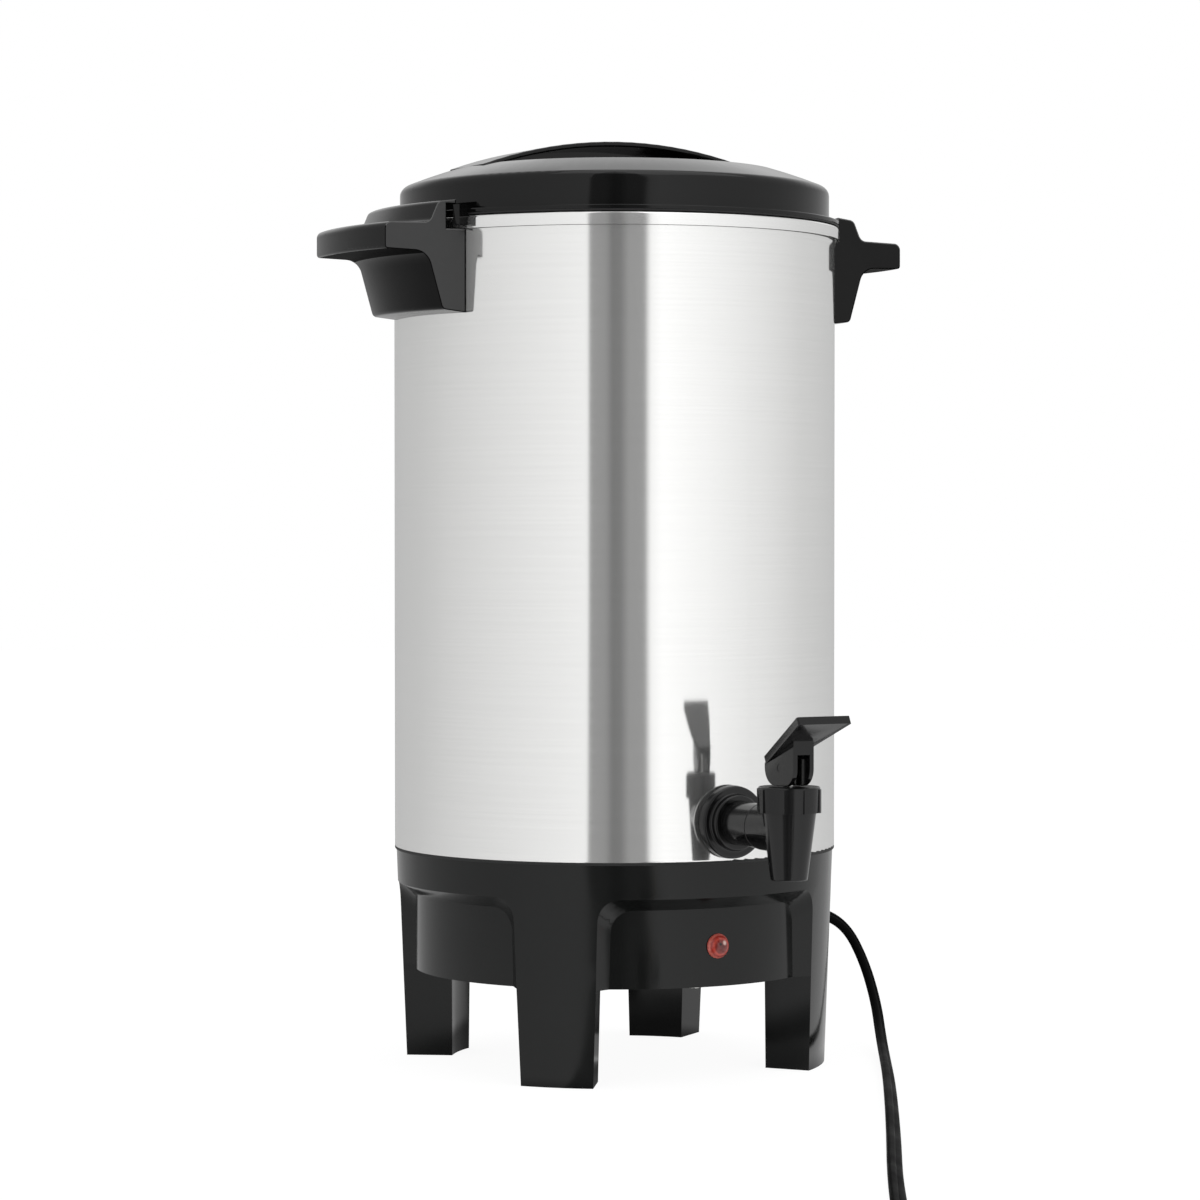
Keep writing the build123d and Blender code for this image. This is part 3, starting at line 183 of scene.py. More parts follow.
def ramped(tree, share, stops):
    """The colour of a ramp of (position, (red, green, blue)) stops."""
    ramp = add_node(tree, "ShaderNodeValToRGB", {"Fac": share})
    elements = ramp.color_ramp.elements
    while len(elements) < len(stops):
        elements.new(0.5)
    for element, (where, colour) in zip(elements, stops):
        element.position = where
        element.color = (*colour, 1)
    return ramp.outputs["Color"]


# ---------------------------------------------------------------- finishes


class Finish:
    """A node material under construction."""

    def __init__(self, name):
        self.material = bpy.data.materials.new(name)
        self.material.use_nodes = True
        self.tree = self.material.node_tree
        self.shader = self.tree.nodes["Principled BSDF"]
        self.place = self.add("ShaderNodeTexCoord").outputs["Object"]

    def add(self, kind, inputs=(), **settings):
        return add_node(self.tree, kind, inputs, **settings)

    def set(self, **values):
        """Set or link the shader's own inputs, with _ for the spaces in their names."""
        for key, value in values.items():
            socket = self.shader.inputs[key.replace("_", " ")]
            if isinstance(value, bpy.types.NodeSocket):
                self.tree.links.new(value, socket)
            else:
                socket.default_value = value

    def stretched(self, x, y, z):
        """The place on the piece, scaled along each axis."""
        return self.add("ShaderNodeMapping", {"Vector": self.place, "Scale": (x, y, z)}).outputs[0]

    def length(self, vector):
        return self.add("ShaderNodeVectorMath", {0: vector}, operation="LENGTH").outputs["Value"]

    def from_axis(self):
        """Distance from the urn's axis."""
        return self.length(self.stretched(1, 1, 0))

    def noise(self, scale, detail, rough, place=None):
        inputs = {"Vector": place or self.place, "Scale": scale, "Detail": detail,
                  "Roughness": rough}
        return self.add("ShaderNodeTexNoise", inputs).outputs["Fac"]

    def between(self, fac, low, high, start=0.3, end=0.7):
        """A number that runs from low to high as fac goes from start to end."""
        inputs = {"Value": fac, "From Min": start, "From Max": end, "To Min": low, "To Max": high}
        return self.add("ShaderNodeMapRange", inputs).outputs[0]

    def mixed(self, fac, a, b):
        """A colour between a and b, each of them RGB or another node's colour."""
        a, b = (c if isinstance(c, bpy.types.NodeSocket) else (*c, 1) for c in (a, b))
        return self.add("ShaderNodeMix", {"Factor": fac, "A": a, "B": b},
                        data_type="RGBA").outputs["Result"]

    def bump(self, height, strength, depth, normal=None):
        inputs = {"Height": height, "Strength": strength, "Distance": depth}
        if normal is not None:
            inputs["Normal"] = normal
        return self.add("ShaderNodeBump", inputs).outputs[0]


def scaled(colour, by):
    return [c * by for c in colour]


def moulded(name, colour, rough, ior, grain=0.1, gloss_spread=0.04):
    """Injection-moulded plastic: a fine orange-peel skin, and handling that dulls it in places."""
    f = Finish(name)
    patches = f.noise(22, 3, 0.6)
    specks = f.noise(900, 2, 0.5)
    peel = f.noise(2600, 2, 0.5)
    f.set(Base_Color=f.mixed(f.between(patches, 0, 1), colour, scaled(colour, 1.5)), IOR=ior,
          Roughness=f.between(patches, rough - gloss_spread, rough + gloss_spread),
          Normal=f.bump(peel, grain, 0.00002, f.bump(specks, grain * 0.6, 0.00003)))
    return f.material


SHEET = 0.8 * MM  # the tank's wall, rolled close round the neck of the base


def brushed_tank():
    """Sheet rolled into the tank, with a fine grain running round it."""
    f = Finish("brushed_tank")
    hair = f.noise(1.0, 2, 0.7, f.stretched(26, 26, 5200))
    streak = f.noise(1.0, 3, 0.6, f.stretched(9, 9, 900))
    cloud = f.noise(7, 3, 0.55)
    shade = f.add("ShaderNodeMath", {0: f.between(streak, 0, 0.6), 1: f.between(cloud, 0, 0.4)},
                  operation="ADD").outputs[0]
    # The inside is left as the mill made it, duller than the brushed outside.
    mid_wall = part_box("base_housing")[1][0] + SHEET / 2
    inside = f.between(f.from_axis(), 1, 0, mid_wall - 0.05 * MM, mid_wall + 0.05 * MM)
    gloss = f.add("ShaderNodeMix", {"Factor": inside, "A": f.between(streak, 0.06, 0.09), "B": 0.5})
    # Not quite all metal: the brushing leaves a haze over what the steel mirrors.
    f.set(Metallic=0.9, Roughness=gloss.outputs[0],
          Base_Color=f.mixed(shade, (0.82, 0.82, 0.81), (0.86, 0.86, 0.85)),
          Normal=f.bump(hair, 0.22, 0.00001, f.bump(streak, 0.05, 0.00002)))
    return f.material


def spun(name, colour, rough=0.3):
    """Spun aluminium: fine rings round the axis."""
    f = Finish(name)
    height = f.add("ShaderNodeSeparateXYZ", {0: f.place}).outputs[2]
    ring = f.add("ShaderNodeCombineXYZ", {0: f.from_axis(), 2: height}).outputs[0]
    rings = f.noise(2200, 2, 0.6, ring)
    cloud = f.noise(18, 3, 0.6)
    f.set(Metallic=1.0, Base_Color=f.mixed(f.between(cloud, 0, 1), colour, scaled(colour, 0.86)),
          Roughness=f.between(cloud, rough - 0.05, rough + 0.08),
          Normal=f.bump(rings, 0.3, 0.00003))
    return f.material


def plated(name, colour, rough=0.28):
    """Plated or rolled metal with small scratches."""
    f = Finish(name)
    cloud = f.noise(60, 3, 0.6)
    scratches = f.noise(700, 2, 0.6)
    f.set(Metallic=1.0, Base_Color=f.mixed(f.between(cloud, 0, 1), colour, scaled(colour, 0.8)),
          Roughness=f.between(cloud, rough - 0.06, rough + 0.1),
          Normal=f.bump(scratches, 0.2, 0.00003))
    return f.material


def rubbery(name, colour, rough=0.6, ior=1.3):
    """Soft plastic, silicone or rubber with a matt skin."""
    f = Finish(name)
    cloud = f.noise(45, 3, 0.6)
    skin = f.noise(1500, 2, 0.5)
    f.set(Base_Color=f.mixed(f.between(cloud, 0, 1), colour, scaled(colour, 1.4)), IOR=ior,
          Roughness=f.between(cloud, rough - 0.08, rough + 0.08),
          Normal=f.bump(skin, 0.3, 0.00003))
    return f.material


def speckled_ceramic():
    f = Finish("speckled_ceramic")
    specks = f.noise(1400, 2, 0.6)
    f.set(Base_Color=f.mixed(f.between(specks, 0, 1, 0.35, 0.75), (0.80, 0.78, 0.73),
                             (0.66, 0.63, 0.58)),
          Roughness=f.between(specks, 0.45, 0.6), Normal=f.bump(specks, 0.2, 0.00003))
    return f.material


def lens_with_painted_light():
    """Tinted clear plastic with painted light on it: painted bright and dark rings, darkest over
    the lamp's hollow.
    """
    f = Finish("lens_with_painted_light")
    low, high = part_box("pilot_lens")
    middle = (low[2] + high[2]) / 2
    centred = f.add("ShaderNodeMapping", {"Vector": f.place, "Scale": (1, 0, 1),
                                          "Location": (0, 0, -middle)}).outputs[0]
    facets = f.noise(900, 2, 0.5)
    rings = f.add("ShaderNodeMath", {0: facets, 1: 0.8 * MM, 2: f.length(centred)},
                  operation="MULTIPLY_ADD").outputs[0]
    # Painted light: bright and dark rings across the lens, set by the distance from its middle.
    colour = ramped(f.tree, f.between(rings, 0, 1, 0.6 * MM, 6.3 * MM), [
        (0.0, (0.16, 0.03, 0.03)), (0.3, (0.24, 0.035, 0.03)), (0.5, (0.3, 0.03, 0.022)),
        (0.62, (0.72, 0.09, 0.06)), (0.78, (0.42, 0.028, 0.02)), (0.9, (0.9, 0.22, 0.17)),
        (1.0, (0.45, 0.04, 0.03))])
    # A painted dark spot for the lamp's tip and a painted highlight for the glint of its reflector.
    for x, z, size, tone in ((-0.8, 1.2, 0.9, (0.012, 0.004, 0.004)),
                             (1.5, 1.7, 1.3, (0.95, 0.66, 0.6))):
        offset = f.add("ShaderNodeVectorMath", {0: centred, 1: (x * MM, 0, z * MM)},
                       operation="DISTANCE").outputs["Value"]
        colour = f.mixed(f.between(offset, 1.0, 0.0, size * 0.45 * MM, size * MM), colour, tone)
    f.set(Base_Color=colour, Roughness=f.between(facets, 0.03, 0.06),
          Transmission_Weight=0.25, IOR=1.49, Normal=f.bump(facets, 0.05, 0.0001))
    return f.material


def braided(name, colour):
    """Glass-fibre sleeving with a diagonal weave."""
    f = Finish(name)
    weave = f.add("ShaderNodeTexWave", {"Vector": f.place, "Scale": 900, "Distortion": 2.0},
                  wave_type="BANDS", bands_direction="DIAGONAL").outputs["Fac"]
    f.set(Base_Color=f.mixed(weave, colour, scaled(colour, 0.75)), Roughness=0.7,
          Normal=f.bump(weave, 0.4, 0.0001))
    return f.material


base_black = moulded("base_black", (0.0042, 0.0046, 0.0044), 0.13, 1.36)
handle_black = moulded("handle_black", (0.0035, 0.0037, 0.0036), 0.1, 1.32, 0.05)
# Painted light and shade on the handles and the bonnet: lit and shaded copies of the black for the
# flat ends, a painted highlight, and painted shade for the root, the underside and the bonnet's
# top.
handle_end_painted_light = moulded("handle_end_painted_light", (0.014, 0.0142, 0.0142), 0.24, 1.52)
handle_edge_painted_highlight = moulded("handle_edge_painted_highlight", (0.06, 0.06, 0.06), 0.3, 1.6, 0.05)
root_painted_shade = moulded("root_painted_shade", (0.003, 0.003, 0.003), 0.22, 1.2)
shaded_end_black = moulded("shaded_end_black", (0.006, 0.006, 0.006), 0.24, 1.24)
grip_painted_shade = moulded("grip_painted_shade", (0.0006, 0.0006, 0.0006), 0.6, 1.1)
bonnet_top_painted_shade = moulded("bonnet_top_painted_shade", (0.006, 0.006, 0.006), 0.42, 1.16)
lid_black = moulded("lid_black", (0.003, 0.0031, 0.0031), 0.06, 1.34, 0.05, 0.02)
tap_black = moulded("tap_black", (0.004, 0.004, 0.0042), 0.14, 1.4)
dark_phenolic = moulded("dark_phenolic", (0.02, 0.018, 0.017), 0.4, 1.5, 0.3)
cord_black = rubbery("cord_black", (0.0045, 0.0045, 0.0046), 0.46, 1.05)
tank_steel = brushed_tank()
floor_steel = plated("floor_steel", (0.72, 0.72, 0.71), 0.2)
zinc = plated("zinc", (0.70, 0.70, 0.68))
stem_steel = plated("stem_steel", (0.74, 0.74, 0.73), 0.16)
sheath = plated("sheath", (0.36, 0.33, 0.30), 0.42)
aluminium = spun("aluminium", (0.82, 0.82, 0.81))
cast_plate = plated("cast_plate", (0.62, 0.62, 0.61), 0.45)
seal_black = rubbery("seal_black", (0.022, 0.022, 0.022))
cup_silicone = rubbery("cup_silicone", (0.55, 0.53, 0.49), 0.5)
ceramic = speckled_ceramic()
lens_red_painted_light = lens_with_painted_light()
brass = plated("brass", (0.80, 0.62, 0.30), 0.2)
lead_white = braided("lead_white", (0.72, 0.70, 0.66))

# ---------------------------------------------------------------- cord

REST_Z = 3.05  # the lead's middle line, in mm, where it lies on the counter
# The same route as the cord's solid, in mm, from the bush to the coil.
ROUTE = [
    (98.8, 0, 65), (115, 0, 65), (131.5, -1, 57), (138.5, -7, 39.5), (135, -23, 21),
    (122, -47, 7), (102, -80, REST_Z), (66.5, -136.3, REST_Z), (19.4, -208.7, REST_Z),
    (-27.9, -280.5, REST_Z), (-75.7, -352.2, REST_Z), (-122, -425, REST_Z),
    (-150, -474, REST_Z),
]
LEAD_W, LEAD_T = 6.8 * MM, 3.9 * MM
COIL_OUT, COIL_IN, COIL_TURNS = 51.0, 35.5, 2.06  # the middle line's radii, out and in
COIL_STEPS = 14  # points in a turn
COIL_TOP = 2 * REST_Z
PLUG_L, PLUG_W, PLUG_T = 29.0, 22.4, 12.6
PLUG_REACH, PLUG_RISE = 43.0, 6.5  # from the coil's middle, and over its top

route = [Vector(p) for p in ROUTE]
run_way = (route[-1] - route[-2]).normalized()
side_way = Vector((-run_way.y, run_way.x, 0))
coil_centre = route[-1] + side_way * COIL_OUT
start_turn = atan2(-side_way.y, -side_way.x)
steps = round(COIL_TURNS * COIL_STEPS)
for step in range(1, steps + 1):
    share = step / steps
    r = COIL_OUT + (COIL_IN - COIL_OUT) * share
    turn = start_turn + 2 * pi * COIL_TURNS * share
    route.append(coil_centre + Vector((r * cos(turn), r * sin(turn), 0)))
# Up over the turns to the plug, which lies on the far side of the coil.
plug_mid = coil_centre + run_way * PLUG_REACH
plug_mid.z = COIL_TOP + PLUG_RISE
for back, aside, lower in ((42, 5, 5), (27, 0.5, 0.4), (14, 0, 0)):
    route.append(plug_mid - side_way * back - run_way * aside - Vector((0, 0, lower)))


def lead_line(points):
    """The lead's middle line, one smooth spline over the route's points."""
    curve = bpy.data.curves.new("lead_line", "CURVE")
    curve.dimensions = "3D"
    curve.resolution_u = 10
    spline = curve.splines.new("NURBS")
    spline.points.add(len(points) - 1)
    for point, place in zip(spline.points, points):
        point.co = (*(place * MM), 1)
    spline.order_u = 3
    spline.use_endpoint_u = True
    obj = bpy.data.objects.new("lead_line", curve)
    mesh = bpy.data.meshes.new_from_object(obj)
    line = [v.co.copy() for v in mesh.vertices]
    bpy.data.objects.remove(obj)
    return line


def lead_twist(gone):
    """How far the lead is turned about its line, that many metres from its start."""
    return radians(18 + 20 * eased_share(gone, 0.1, 0.45) + 52 * eased_share(gone, 0.45, 0.66))


def flat_lead(name, line):
    """Twin flex: two round cores side by side, with the groove between them."""
    core = LEAD_T / 2
    apart = LEAD_W / 2 - core
    bm = bmesh.new()
    ring = bmesh.ops.create_circle(bm, segments=28, radius=1.0)["verts"]
    for v in ring:
        x = v.co.x * LEAD_W / 2
        y = max(core ** 2 - (abs(x) - apart) ** 2, 0.0) ** 0.5
        v.co = Vector((x, y if v.co.y > 0 else -y, 0))
    edges = list({e for v in ring for e in v.link_edges})
    gone = [0.0]
    for before, after in zip(line, line[1:]):
        gone.append(gone[-1] + (after - before).length)
    upright = Vector((0, 0, 1))
    frames = []
    for i in range(len(line) - 1, -1, -1):
        before, after = line[max(i - 1, 0)], line[min(i + 1, len(line) - 1)]
        along = (after - before).normalized()
        upright = (upright - along * upright.dot(along)).normalized()
        wide = Matrix.Rotation(lead_twist(gone[i]), 3, along) @ upright
        across = along.cross(wide)
        # It rests on the counter however it is turned.
        reach = hypot(LEAD_W / 2 * wide.z, core * across.z) + 0.05 * MM
        near = max(0.0, 1 - max(0.0, line[i].z - REST_Z * MM) / (4 * MM))
        centre = line[i] + Vector((0, 0, (reach - REST_Z * MM) * near))
        turn = Matrix((wide, across, along)).transposed().to_4x4()
        frames.append(Matrix.Translation(centre) @ turn)
    bmesh.ops.transform(bm, matrix=frames[0], verts=ring)
    first = list(edges)
    for old, new in zip(frames, frames[1:]):
        grown = bmesh.ops.extrude_edge_only(bm, edges=edges)["geom"]
        verts = {g for g in grown if isinstance(g, bmesh.types.BMVert)}
        edges = [g for g in grown if isinstance(g, bmesh.types.BMEdge)
                 and all(v in verts for v in g.verts)]
        bmesh.ops.transform(bm, matrix=new @ old.inverted(), verts=list(verts))
    bmesh.ops.contextual_create(bm, geom=first)
    bmesh.ops.contextual_create(bm, geom=edges)
    bmesh.ops.recalc_face_normals(bm, faces=bm.faces)
    return piece(name, bm, "urn", sharp=60)


line = lead_line(route)
cord = flat_lead("mains_lead", line)
paint(cord, cord_black)
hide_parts("cord_tube", "cord_coil")


def strain_bush():
    """The bush in the wall and its tapered, ribbed tail round the lead."""
    inner_face, wall_in, wall_out, z = 89.6, 92.4, 95.2, ROUTE[0][2]
    bore, flange_r, neck_r = 2.0, 6.2, 4.8
    profile = [(bore, inner_face), (flange_r, inner_face), (flange_r, wall_in), (neck_r, wall_in),
               (neck_r, wall_out + 0.1), (flange_r, wall_out + 0.1), (flange_r, wall_out + 1.2),
               (5.6, wall_out + 2.4)]
    for i in range(5):
        x = wall_out + 2.8 + i * 3.0
        r = 5.3 - 0.32 * i
        profile += [(r - 0.75, x), (r - 0.75, x + 0.9), (r, x + 1.1), (r - 0.06, x + 2.6)]
    profile += [(3.6, wall_out + 18.4), (3.3, wall_out + 19.2), (bore, wall_out + 19.2),
                (bore, inner_face)]
    bm = turned(profile, 40, axis=(1, 0, 0), centre=(0, 0, z * MM), across=(0, 0, 1))
    obj = piece("strain_bush", bm, "urn")
    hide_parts("strain_relief")
    return obj


bush = strain_bush()
paint(bush, cord_black)


def plug_grip():
    """Moulded two-pin plug: a tapered grip with finger ribs."""
    bm = bmesh.new()
    bmesh.ops.create_cube(bm, size=1.0)
    bmesh.ops.transform(bm, verts=bm.verts,
                        matrix=Matrix.Diagonal((PLUG_L * MM, PLUG_W * MM, PLUG_T * MM, 1)))
    for v in bm.verts:
        if v.co.x < 0:  # the lead's end is the slim one
            v.co.y *= 0.46
            v.co.z *= 0.72
    long_edges = [e for e in bm.edges if abs(e.verts[0].co.x - e.verts[1].co.x) > 0.01]
    bmesh.ops.subdivide_edges(bm, edges=long_edges, cuts=8)
    for v in bm.verts:
        share = v.co.x / (PLUG_L * MM) + 0.5
        if 0.05 < share < 0.55:
            v.co.y *= 0.82 if round(share * 9) % 2 else 0.94
    corners = [e for e in bm.edges if e.calc_face_angle(0) > radians(50)]
    bmesh.ops.bevel(bm, geom=corners, offset=1.6 * MM, offset_type="OFFSET", segments=4,
                    profile=0.5, affect="EDGES", clamp_overlap=True, material=-1)
    turn = Matrix.Rotation(atan2(side_way.y, side_way.x), 4, "Z")
    bmesh.ops.transform(bm, verts=bm.verts, matrix=Matrix.Translation(plug_mid * MM) @ turn)
    bmesh.ops.recalc_face_normals(bm, faces=bm.faces)
    return piece("plug_grip", bm, "urn", sharp=45)


plug = plug_grip()
paint(plug, cord_black)
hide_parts("plug_body")
even_shading(plug)
paint("plug_blades", brass)

# ---------------------------------------------------------------- mouldings

seam_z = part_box("base_housing")[1][2]
base = eased("base_housing", "base_moulding", 0.5 * MM,
             keep=lambda e: max(v.co.z for v in e.verts) < seam_z - 1 * MM)
paint(base, base_black)

LEAST_END = 4e-4  # square metres: of the faces that look along y, only the flat ends reach it


def end_borders(bm):
    """A narrow border round each flat end, marked for painted light: 2 where it faces up, for a
    painted highlight, 1 elsewhere, for a painted shadow line.
    """
    edge = bm.faces.layers.int.new("edge")
    ends = [f for f in bm.faces if abs(f.normal.y) > 0.99 and f.calc_area() > LEAST_END]
    border = bmesh.ops.inset_region(bm, faces=ends, thickness=0.5 * MM, depth=0,
                                    use_even_offset=True)
    inside = {v for f in ends for v in f.verts}
    for face in border["faces"]:
        near = [v.co.z for v in face.verts if v in inside]
        far = [v.co.z for v in face.verts if v not in inside]
        if near and far:
            face[edge] = 2 if sum(far) / len(far) - sum(near) / len(near) > 0.2 * MM else 1


def grip(side, end_painted_light_or_shade):
    """A side handle, with painted light and shade: its flat ends lit or shaded, painted shade on
    its underside and root, and a painted highlight along the top of the ends.
    """
    low, high = (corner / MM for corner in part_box(f"handle_{side}"))
    outer = max(abs(low[0]), abs(high[0])) - 1.2
    grip_low, root_high = high[2] - 30, high[2] - 24
    obj = eased(f"handle_{side}", f"grip_{side}", 0.55 * MM, detail=end_borders)
    paint(obj, handle_black)
    # Painted light or shade on the flat ends: lit on the left handle, shaded on the right.
    recolour(obj, end_painted_light_or_shade, lambda c, n, edge: abs(n.y) > 0.95 and abs(c.y) > high[1] - 1)
    # Painted shade: the grip's underside is painted near black, and a painted shadow line runs
    # round the flat ends.
    recolour(obj, grip_painted_shade, lambda c, n, edge: edge == 1 or (
        n.z < -0.85 and c.z > grip_low and hypot(c.x, c.y) < outer))
    # Painted shade on the root under the grip, and a painted highlight along the top of the ends.
    recolour(obj, root_painted_shade, lambda c, n, edge: (
        -0.85 <= n.z < (0.12 if c.z < root_high else -0.12)
        and abs(n.y) < 0.9 and hypot(c.x, c.y) < outer - 4))
    # Painted highlight: a paler black along the top of the flat ends.
    recolour(obj, handle_edge_painted_highlight, lambda c, n, edge: edge == 2)


grip("right", shaded_end_black)
grip("left", handle_end_painted_light)
cap = eased("lid", "lid_moulding", 0.35 * MM)
paint(cap, lid_black)


def sunk_panel(bm):
    """The underside of the lever's paddle: a panel with a raised border."""
    below = max((f for f in bm.faces if f.normal.z < -0.3), key=lambda f: f.calc_area())
    bmesh.ops.inset_region(bm, faces=[below], thickness=1.4 * MM, depth=-0.6 * MM,
                           use_even_offset=True)


lever = eased("tap_lever", "lever_moulding", 0.35 * MM, detail=sunk_panel)
paint(lever, tap_black)
for node, name, width in (("tap_body", "barrel_moulding", 0.3),
                          ("tap_bonnet", "bonnet_moulding", 0.3),
                          ("tap_nut", "nut_moulding", 0.4),
                          ("tap_flange", "flange_moulding", 0.2)):
    part = eased(node, name, width * MM)
    paint(part, tap_black)
    if node == "tap_bonnet":
        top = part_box(node)[1][2] / MM
        # Painted shade: the bonnet's top face gets a duller, dimmer black.
        recolour(part, bonnet_top_painted_shade, lambda c, n, edge: n.z > 0.9 and c.z > top - 0.5)

# ---------------------------------------------------------------- dark rings of painted shade, and the spring

# A dark ring in the seam between the steel and the base: painted shade for the shadow line there.
seam = seam_z / MM
neck_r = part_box("base_housing")[1][0] / MM
seam_shade_ring = piece("seam_shadow_ring", turned([
    (neck_r - 0.6, seam - 0.15), (neck_r + 0.6, seam - 0.15), (neck_r + 0.78, seam + 0.1),
    (neck_r + 0.8, seam + 1.1), (neck_r + 0.7, seam + 1.3), (neck_r - 0.6, seam + 1.3),
    (neck_r - 0.6, seam - 0.15)], 256), "urn")
paint(seam_shade_ring, seal_black)

bonnet_low, bonnet_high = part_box("tap_bonnet")
flange_low, flange_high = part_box("tap_flange")
tap_y = (bonnet_low[1] + bonnet_high[1]) / 2
# A dark ring on the shank behind the collar: painted shade for the shadow line at its step.
SHADE_RING_BEHIND = 20.9 * MM  # from the bonnet's middle back to the ring on the shank
shank_middle = (0, tap_y + SHADE_RING_BEHIND, (flange_low[2] + flange_high[2]) / 2)
shank_shade_ring = piece("shank_shade_ring", turned([
    (9.9, -0.3), (10.15, -0.42), (10.5, -0.25), (10.6, 0), (10.5, 0.25), (10.15, 0.42),
    (9.9, 0.3), (9.9, -0.3)], 96, axis=(0, -1, 0), centre=shank_middle), "urn")
paint(shank_shade_ring, seal_black)

spring = piece("return_spring", merged_copy("tap_spring"), body_of("tap_spring"))
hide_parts("tap_spring")
paint(spring, zinc)
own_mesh(spring)

# ---------------------------------------------------------------- carried-over nodes

for names, material in (
    (("tank_shell",), tank_steel),
    (("tank_floor",), floor_steel),
    (("base_cover", "cover_screws", "mount_studs", "mount_nuts", "boil_thermostat", "dry_cutout",
      "handle_washers", "handle_screws"), zinc),
    (("lever_pin",), tap_black),
    (("heat_plate",), cast_plate),
    (("boil_element", "warm_element"), sheath),
    (("terminal_block",), ceramic),
    (("pilot_lens",), lens_red_painted_light),
    (("pilot_lamp",), dark_phenolic),
    (("leads",), lead_white),
    (("lid_seal", "tap_gasket_outer", "tap_gasket_inner"), seal_black),
    (("perc_tube", "perc_foot", "basket_collar", "basket", "basket_lid"), aluminium),
    (("seat_cup",), cup_silicone),
    (("tap_stem",), stem_steel),
):
    for name in names:
        paint(name, material)

# ---------------------------------------------------------------- studio

scene.view_settings.view_transform = "Standard"

# Directions, in degrees, of the dark opening between the room's two white walls.
GAP_FROM, GAP_TO = -130.3, -102.8
CEILING_WAY = (0.495, 0.869, 0)  # the lit part of the ceiling lies that way from the urn
COUNTER_GLOW, GLOW_SHARE = 1.08, 0.86


def multiplied(tree, a, b):
    return add_node(tree, "ShaderNodeMath", {0: a, 1: b}, operation="MULTIPLY").outputs[0]


def dot(tree, a, b):
    return add_node(tree, "ShaderNodeVectorMath", {0: a, 1: b},
                    operation="DOT_PRODUCT").outputs["Value"]


def smooth_step(tree, value, start, end, low=0.0, high=1.0):
    """A number that eases from low to high as value goes from start to end."""
    inputs = {"Value": value, "From Min": start, "From Max": end, "To Min": low, "To Max": high}
    return add_node(tree, "ShaderNodeMapRange", inputs,
                    interpolation_type="SMOOTHSTEP").outputs[0]


def mixed_shaders(tree, share, a, b):
    return add_node(tree, "ShaderNodeMixShader", {0: share, 1: a, 2: b}).outputs[0]


def studio_level(tree, place):
    """Brightness of the room by direction: two white walls with a dark opening between them."""
    # Turned so that the opening's middle is the middle of the scale.
    middle = radians((GAP_FROM + GAP_TO) / 2)
    forward = dot(tree, place, (cos(middle), sin(middle), 0))
    left = dot(tree, place, (-sin(middle), cos(middle), 0))
    angle = add_node(tree, "ShaderNodeMath", {0: left, 1: forward}, operation="ARCTAN2").outputs[0]
    share = add_node(tree, "ShaderNodeMapRange", {"Value": angle, "From Min": -pi, "From Max": pi})
    half = (GAP_TO - GAP_FROM) / 2 / 360
    stops = (
        (-0.5, 0.5), (-0.34, 0.62), (-half - 0.05, 0.97), (-half - 0.0075, 1.04),
        (-half - 0.0045, 0.31), (-half * 0.55, 0.28), (-half * 0.3, 0.15), (0, 0.17),
        (half * 0.3, 0.31), (half * 0.43, 0.31), (half * 0.47, 1.1), (half * 0.51, 0.31),
        (half - 0.004, 0.32), (half + 0.003, 1.1), (half + 0.02, 1.25), (half + 0.08, 1.12),
        (0.3, 0.72), (0.5, 0.5),
    )
    return ramped(tree, share.outputs[0], [(0.5 + turn, (level,) * 3) for turn, level in stops])


def light_room():
    """The room that the urn mirrors; the camera itself sees plain white."""
    world = bpy.data.worlds.new("room")
    scene.world = world
    world.use_nodes = True
    tree = world.node_tree
    place = add_node(tree, "ShaderNodeTexCoord").outputs["Generated"]
    rays = add_node(tree, "ShaderNodeLightPath").outputs
    walls = studio_level(tree, place)
    # A lit ceiling behind and over the urn.
    height = add_node(tree, "ShaderNodeSeparateXYZ", {0: place}).outputs[2]
    over = smooth_step(tree, height, 0.12, 0.4)
    behind = smooth_step(tree, dot(tree, place, CEILING_WAY), 0.45, 0.8)
    lit = add_node(tree, "ShaderNodeMix", {"Factor": multiplied(tree, over, behind), "A": walls,
                                           "B": (1.05, 1.05, 1.05, 1)}, data_type="RGBA")
    pick = add_node(tree, "ShaderNodeMix", {"Factor": rays["Is Camera Ray"],
                                            "A": lit.outputs["Result"], "B": (1, 1, 1, 1)},
                    data_type="RGBA")
    background = tree.nodes["Background"]
    tree.links.new(pick.outputs["Result"], background.inputs["Color"])
    background.inputs["Strength"].default_value = 1.0


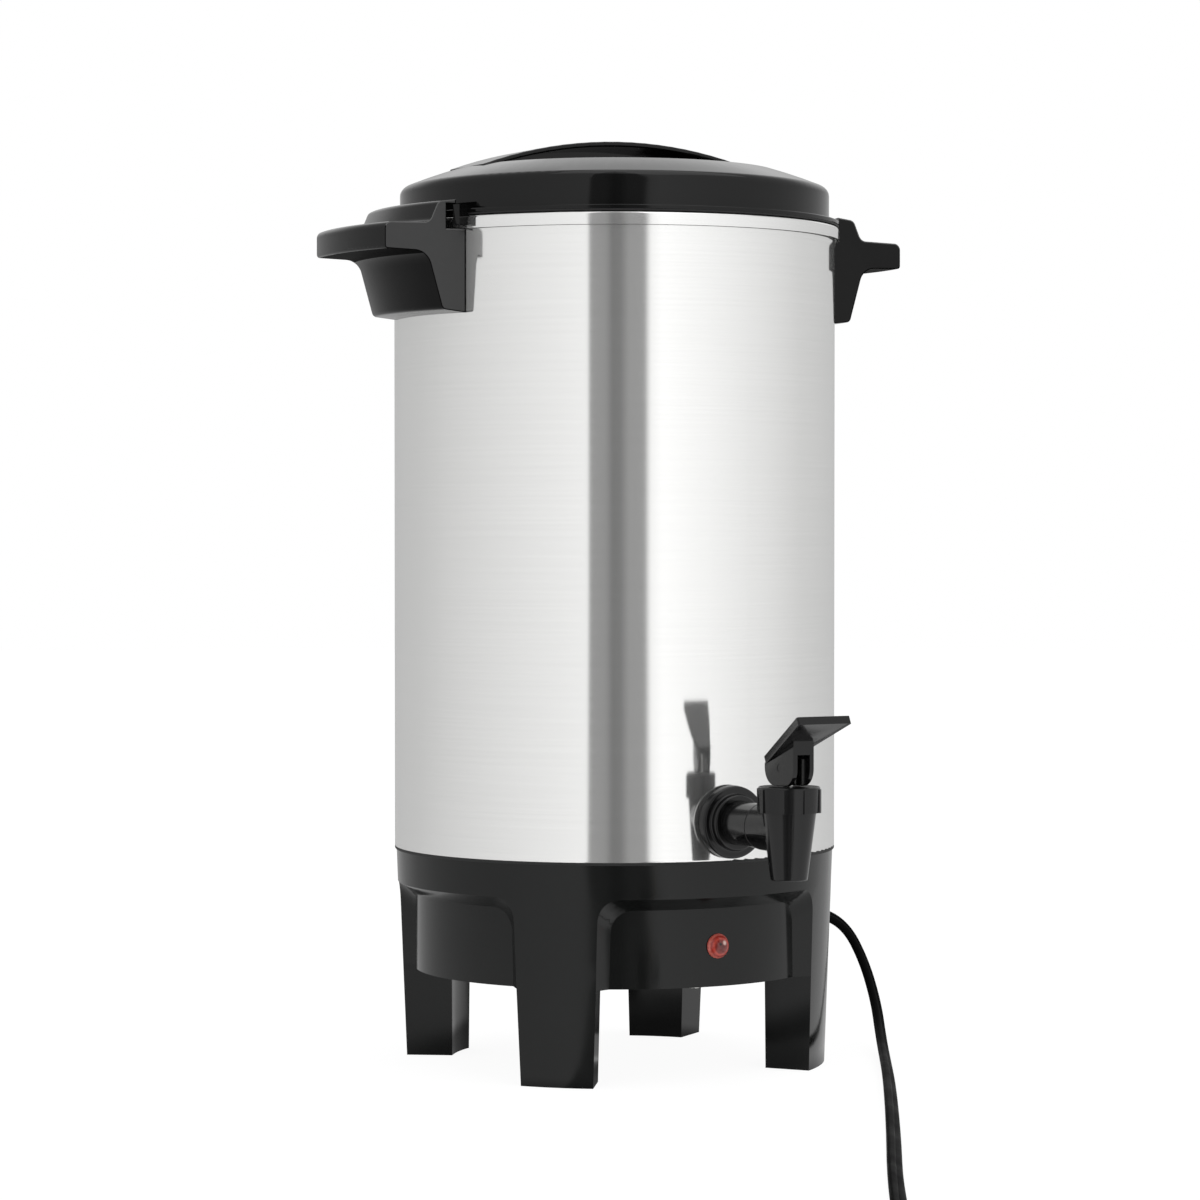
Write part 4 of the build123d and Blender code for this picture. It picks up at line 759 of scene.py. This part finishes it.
def lay_counter():
    """A white counter: glowing to the camera, and part of the room to what mirrors it."""
    bm = bmesh.new()
    bmesh.ops.create_circle(bm, cap_ends=True, segments=96, radius=6.0)
    mesh = bpy.data.meshes.new("counter")
    bm.to_mesh(mesh)
    bm.free()
    counter = bpy.data.objects.new("counter", mesh)
    bpy.context.collection.objects.link(counter)

    surface = bpy.data.materials.new("counter_white")
    surface.use_nodes = True
    tree = surface.node_tree
    matte = tree.nodes["Principled BSDF"]
    for key, value in {"Base Color": (0.9, 0.9, 0.9, 1), "Roughness": 0.9,
                       "Specular IOR Level": 0.0}.items():
        matte.inputs[key].default_value = value
    rays = add_node(tree, "ShaderNodeLightPath").outputs
    place = add_node(tree, "ShaderNodeTexCoord").outputs["Object"]
    # Painted shade: mirrored, it glows less close to the urn, as the urn's own shade would make it.
    away = add_node(tree, "ShaderNodeVectorMath", {0: place}, operation="LENGTH").outputs["Value"]
    seen = add_node(tree, "ShaderNodeEmission", {"Strength": COUNTER_GLOW}).outputs[0]
    mirrored = add_node(tree, "ShaderNodeEmission", {
        "Color": studio_level(tree, place),
        "Strength": smooth_step(tree, away, 0.085, 0.125, 0.3, 1.0)}).outputs[0]
    to_camera = multiplied(tree, rays["Is Camera Ray"], GLOW_SHARE)
    plain = mixed_shaders(tree, to_camera, matte.outputs[0], seen)
    surfaced = mixed_shaders(tree, rays["Is Glossy Ray"], plain, mirrored)
    tree.links.new(surfaced, tree.nodes["Material Output"].inputs["Surface"])
    mesh.materials.append(surface)


def hang_softbox(name, place, aim, size, power):
    lamp = bpy.data.lights.new(name, "AREA")
    lamp.shape = "RECTANGLE"
    lamp.size = lamp.size_y = size
    lamp.energy = power
    obj = bpy.data.objects.new(name, lamp)
    obj.location = place
    obj.rotation_euler = (Vector(aim) - Vector(place)).to_track_quat("-Z", "Y").to_euler()
    bpy.context.collection.objects.link(obj)


light_room()
lay_counter()
hang_softbox("overhead_softbox", place=(0.2, -0.3, 2.2), aim=(0, 0, 0.2), size=1.8, power=8)
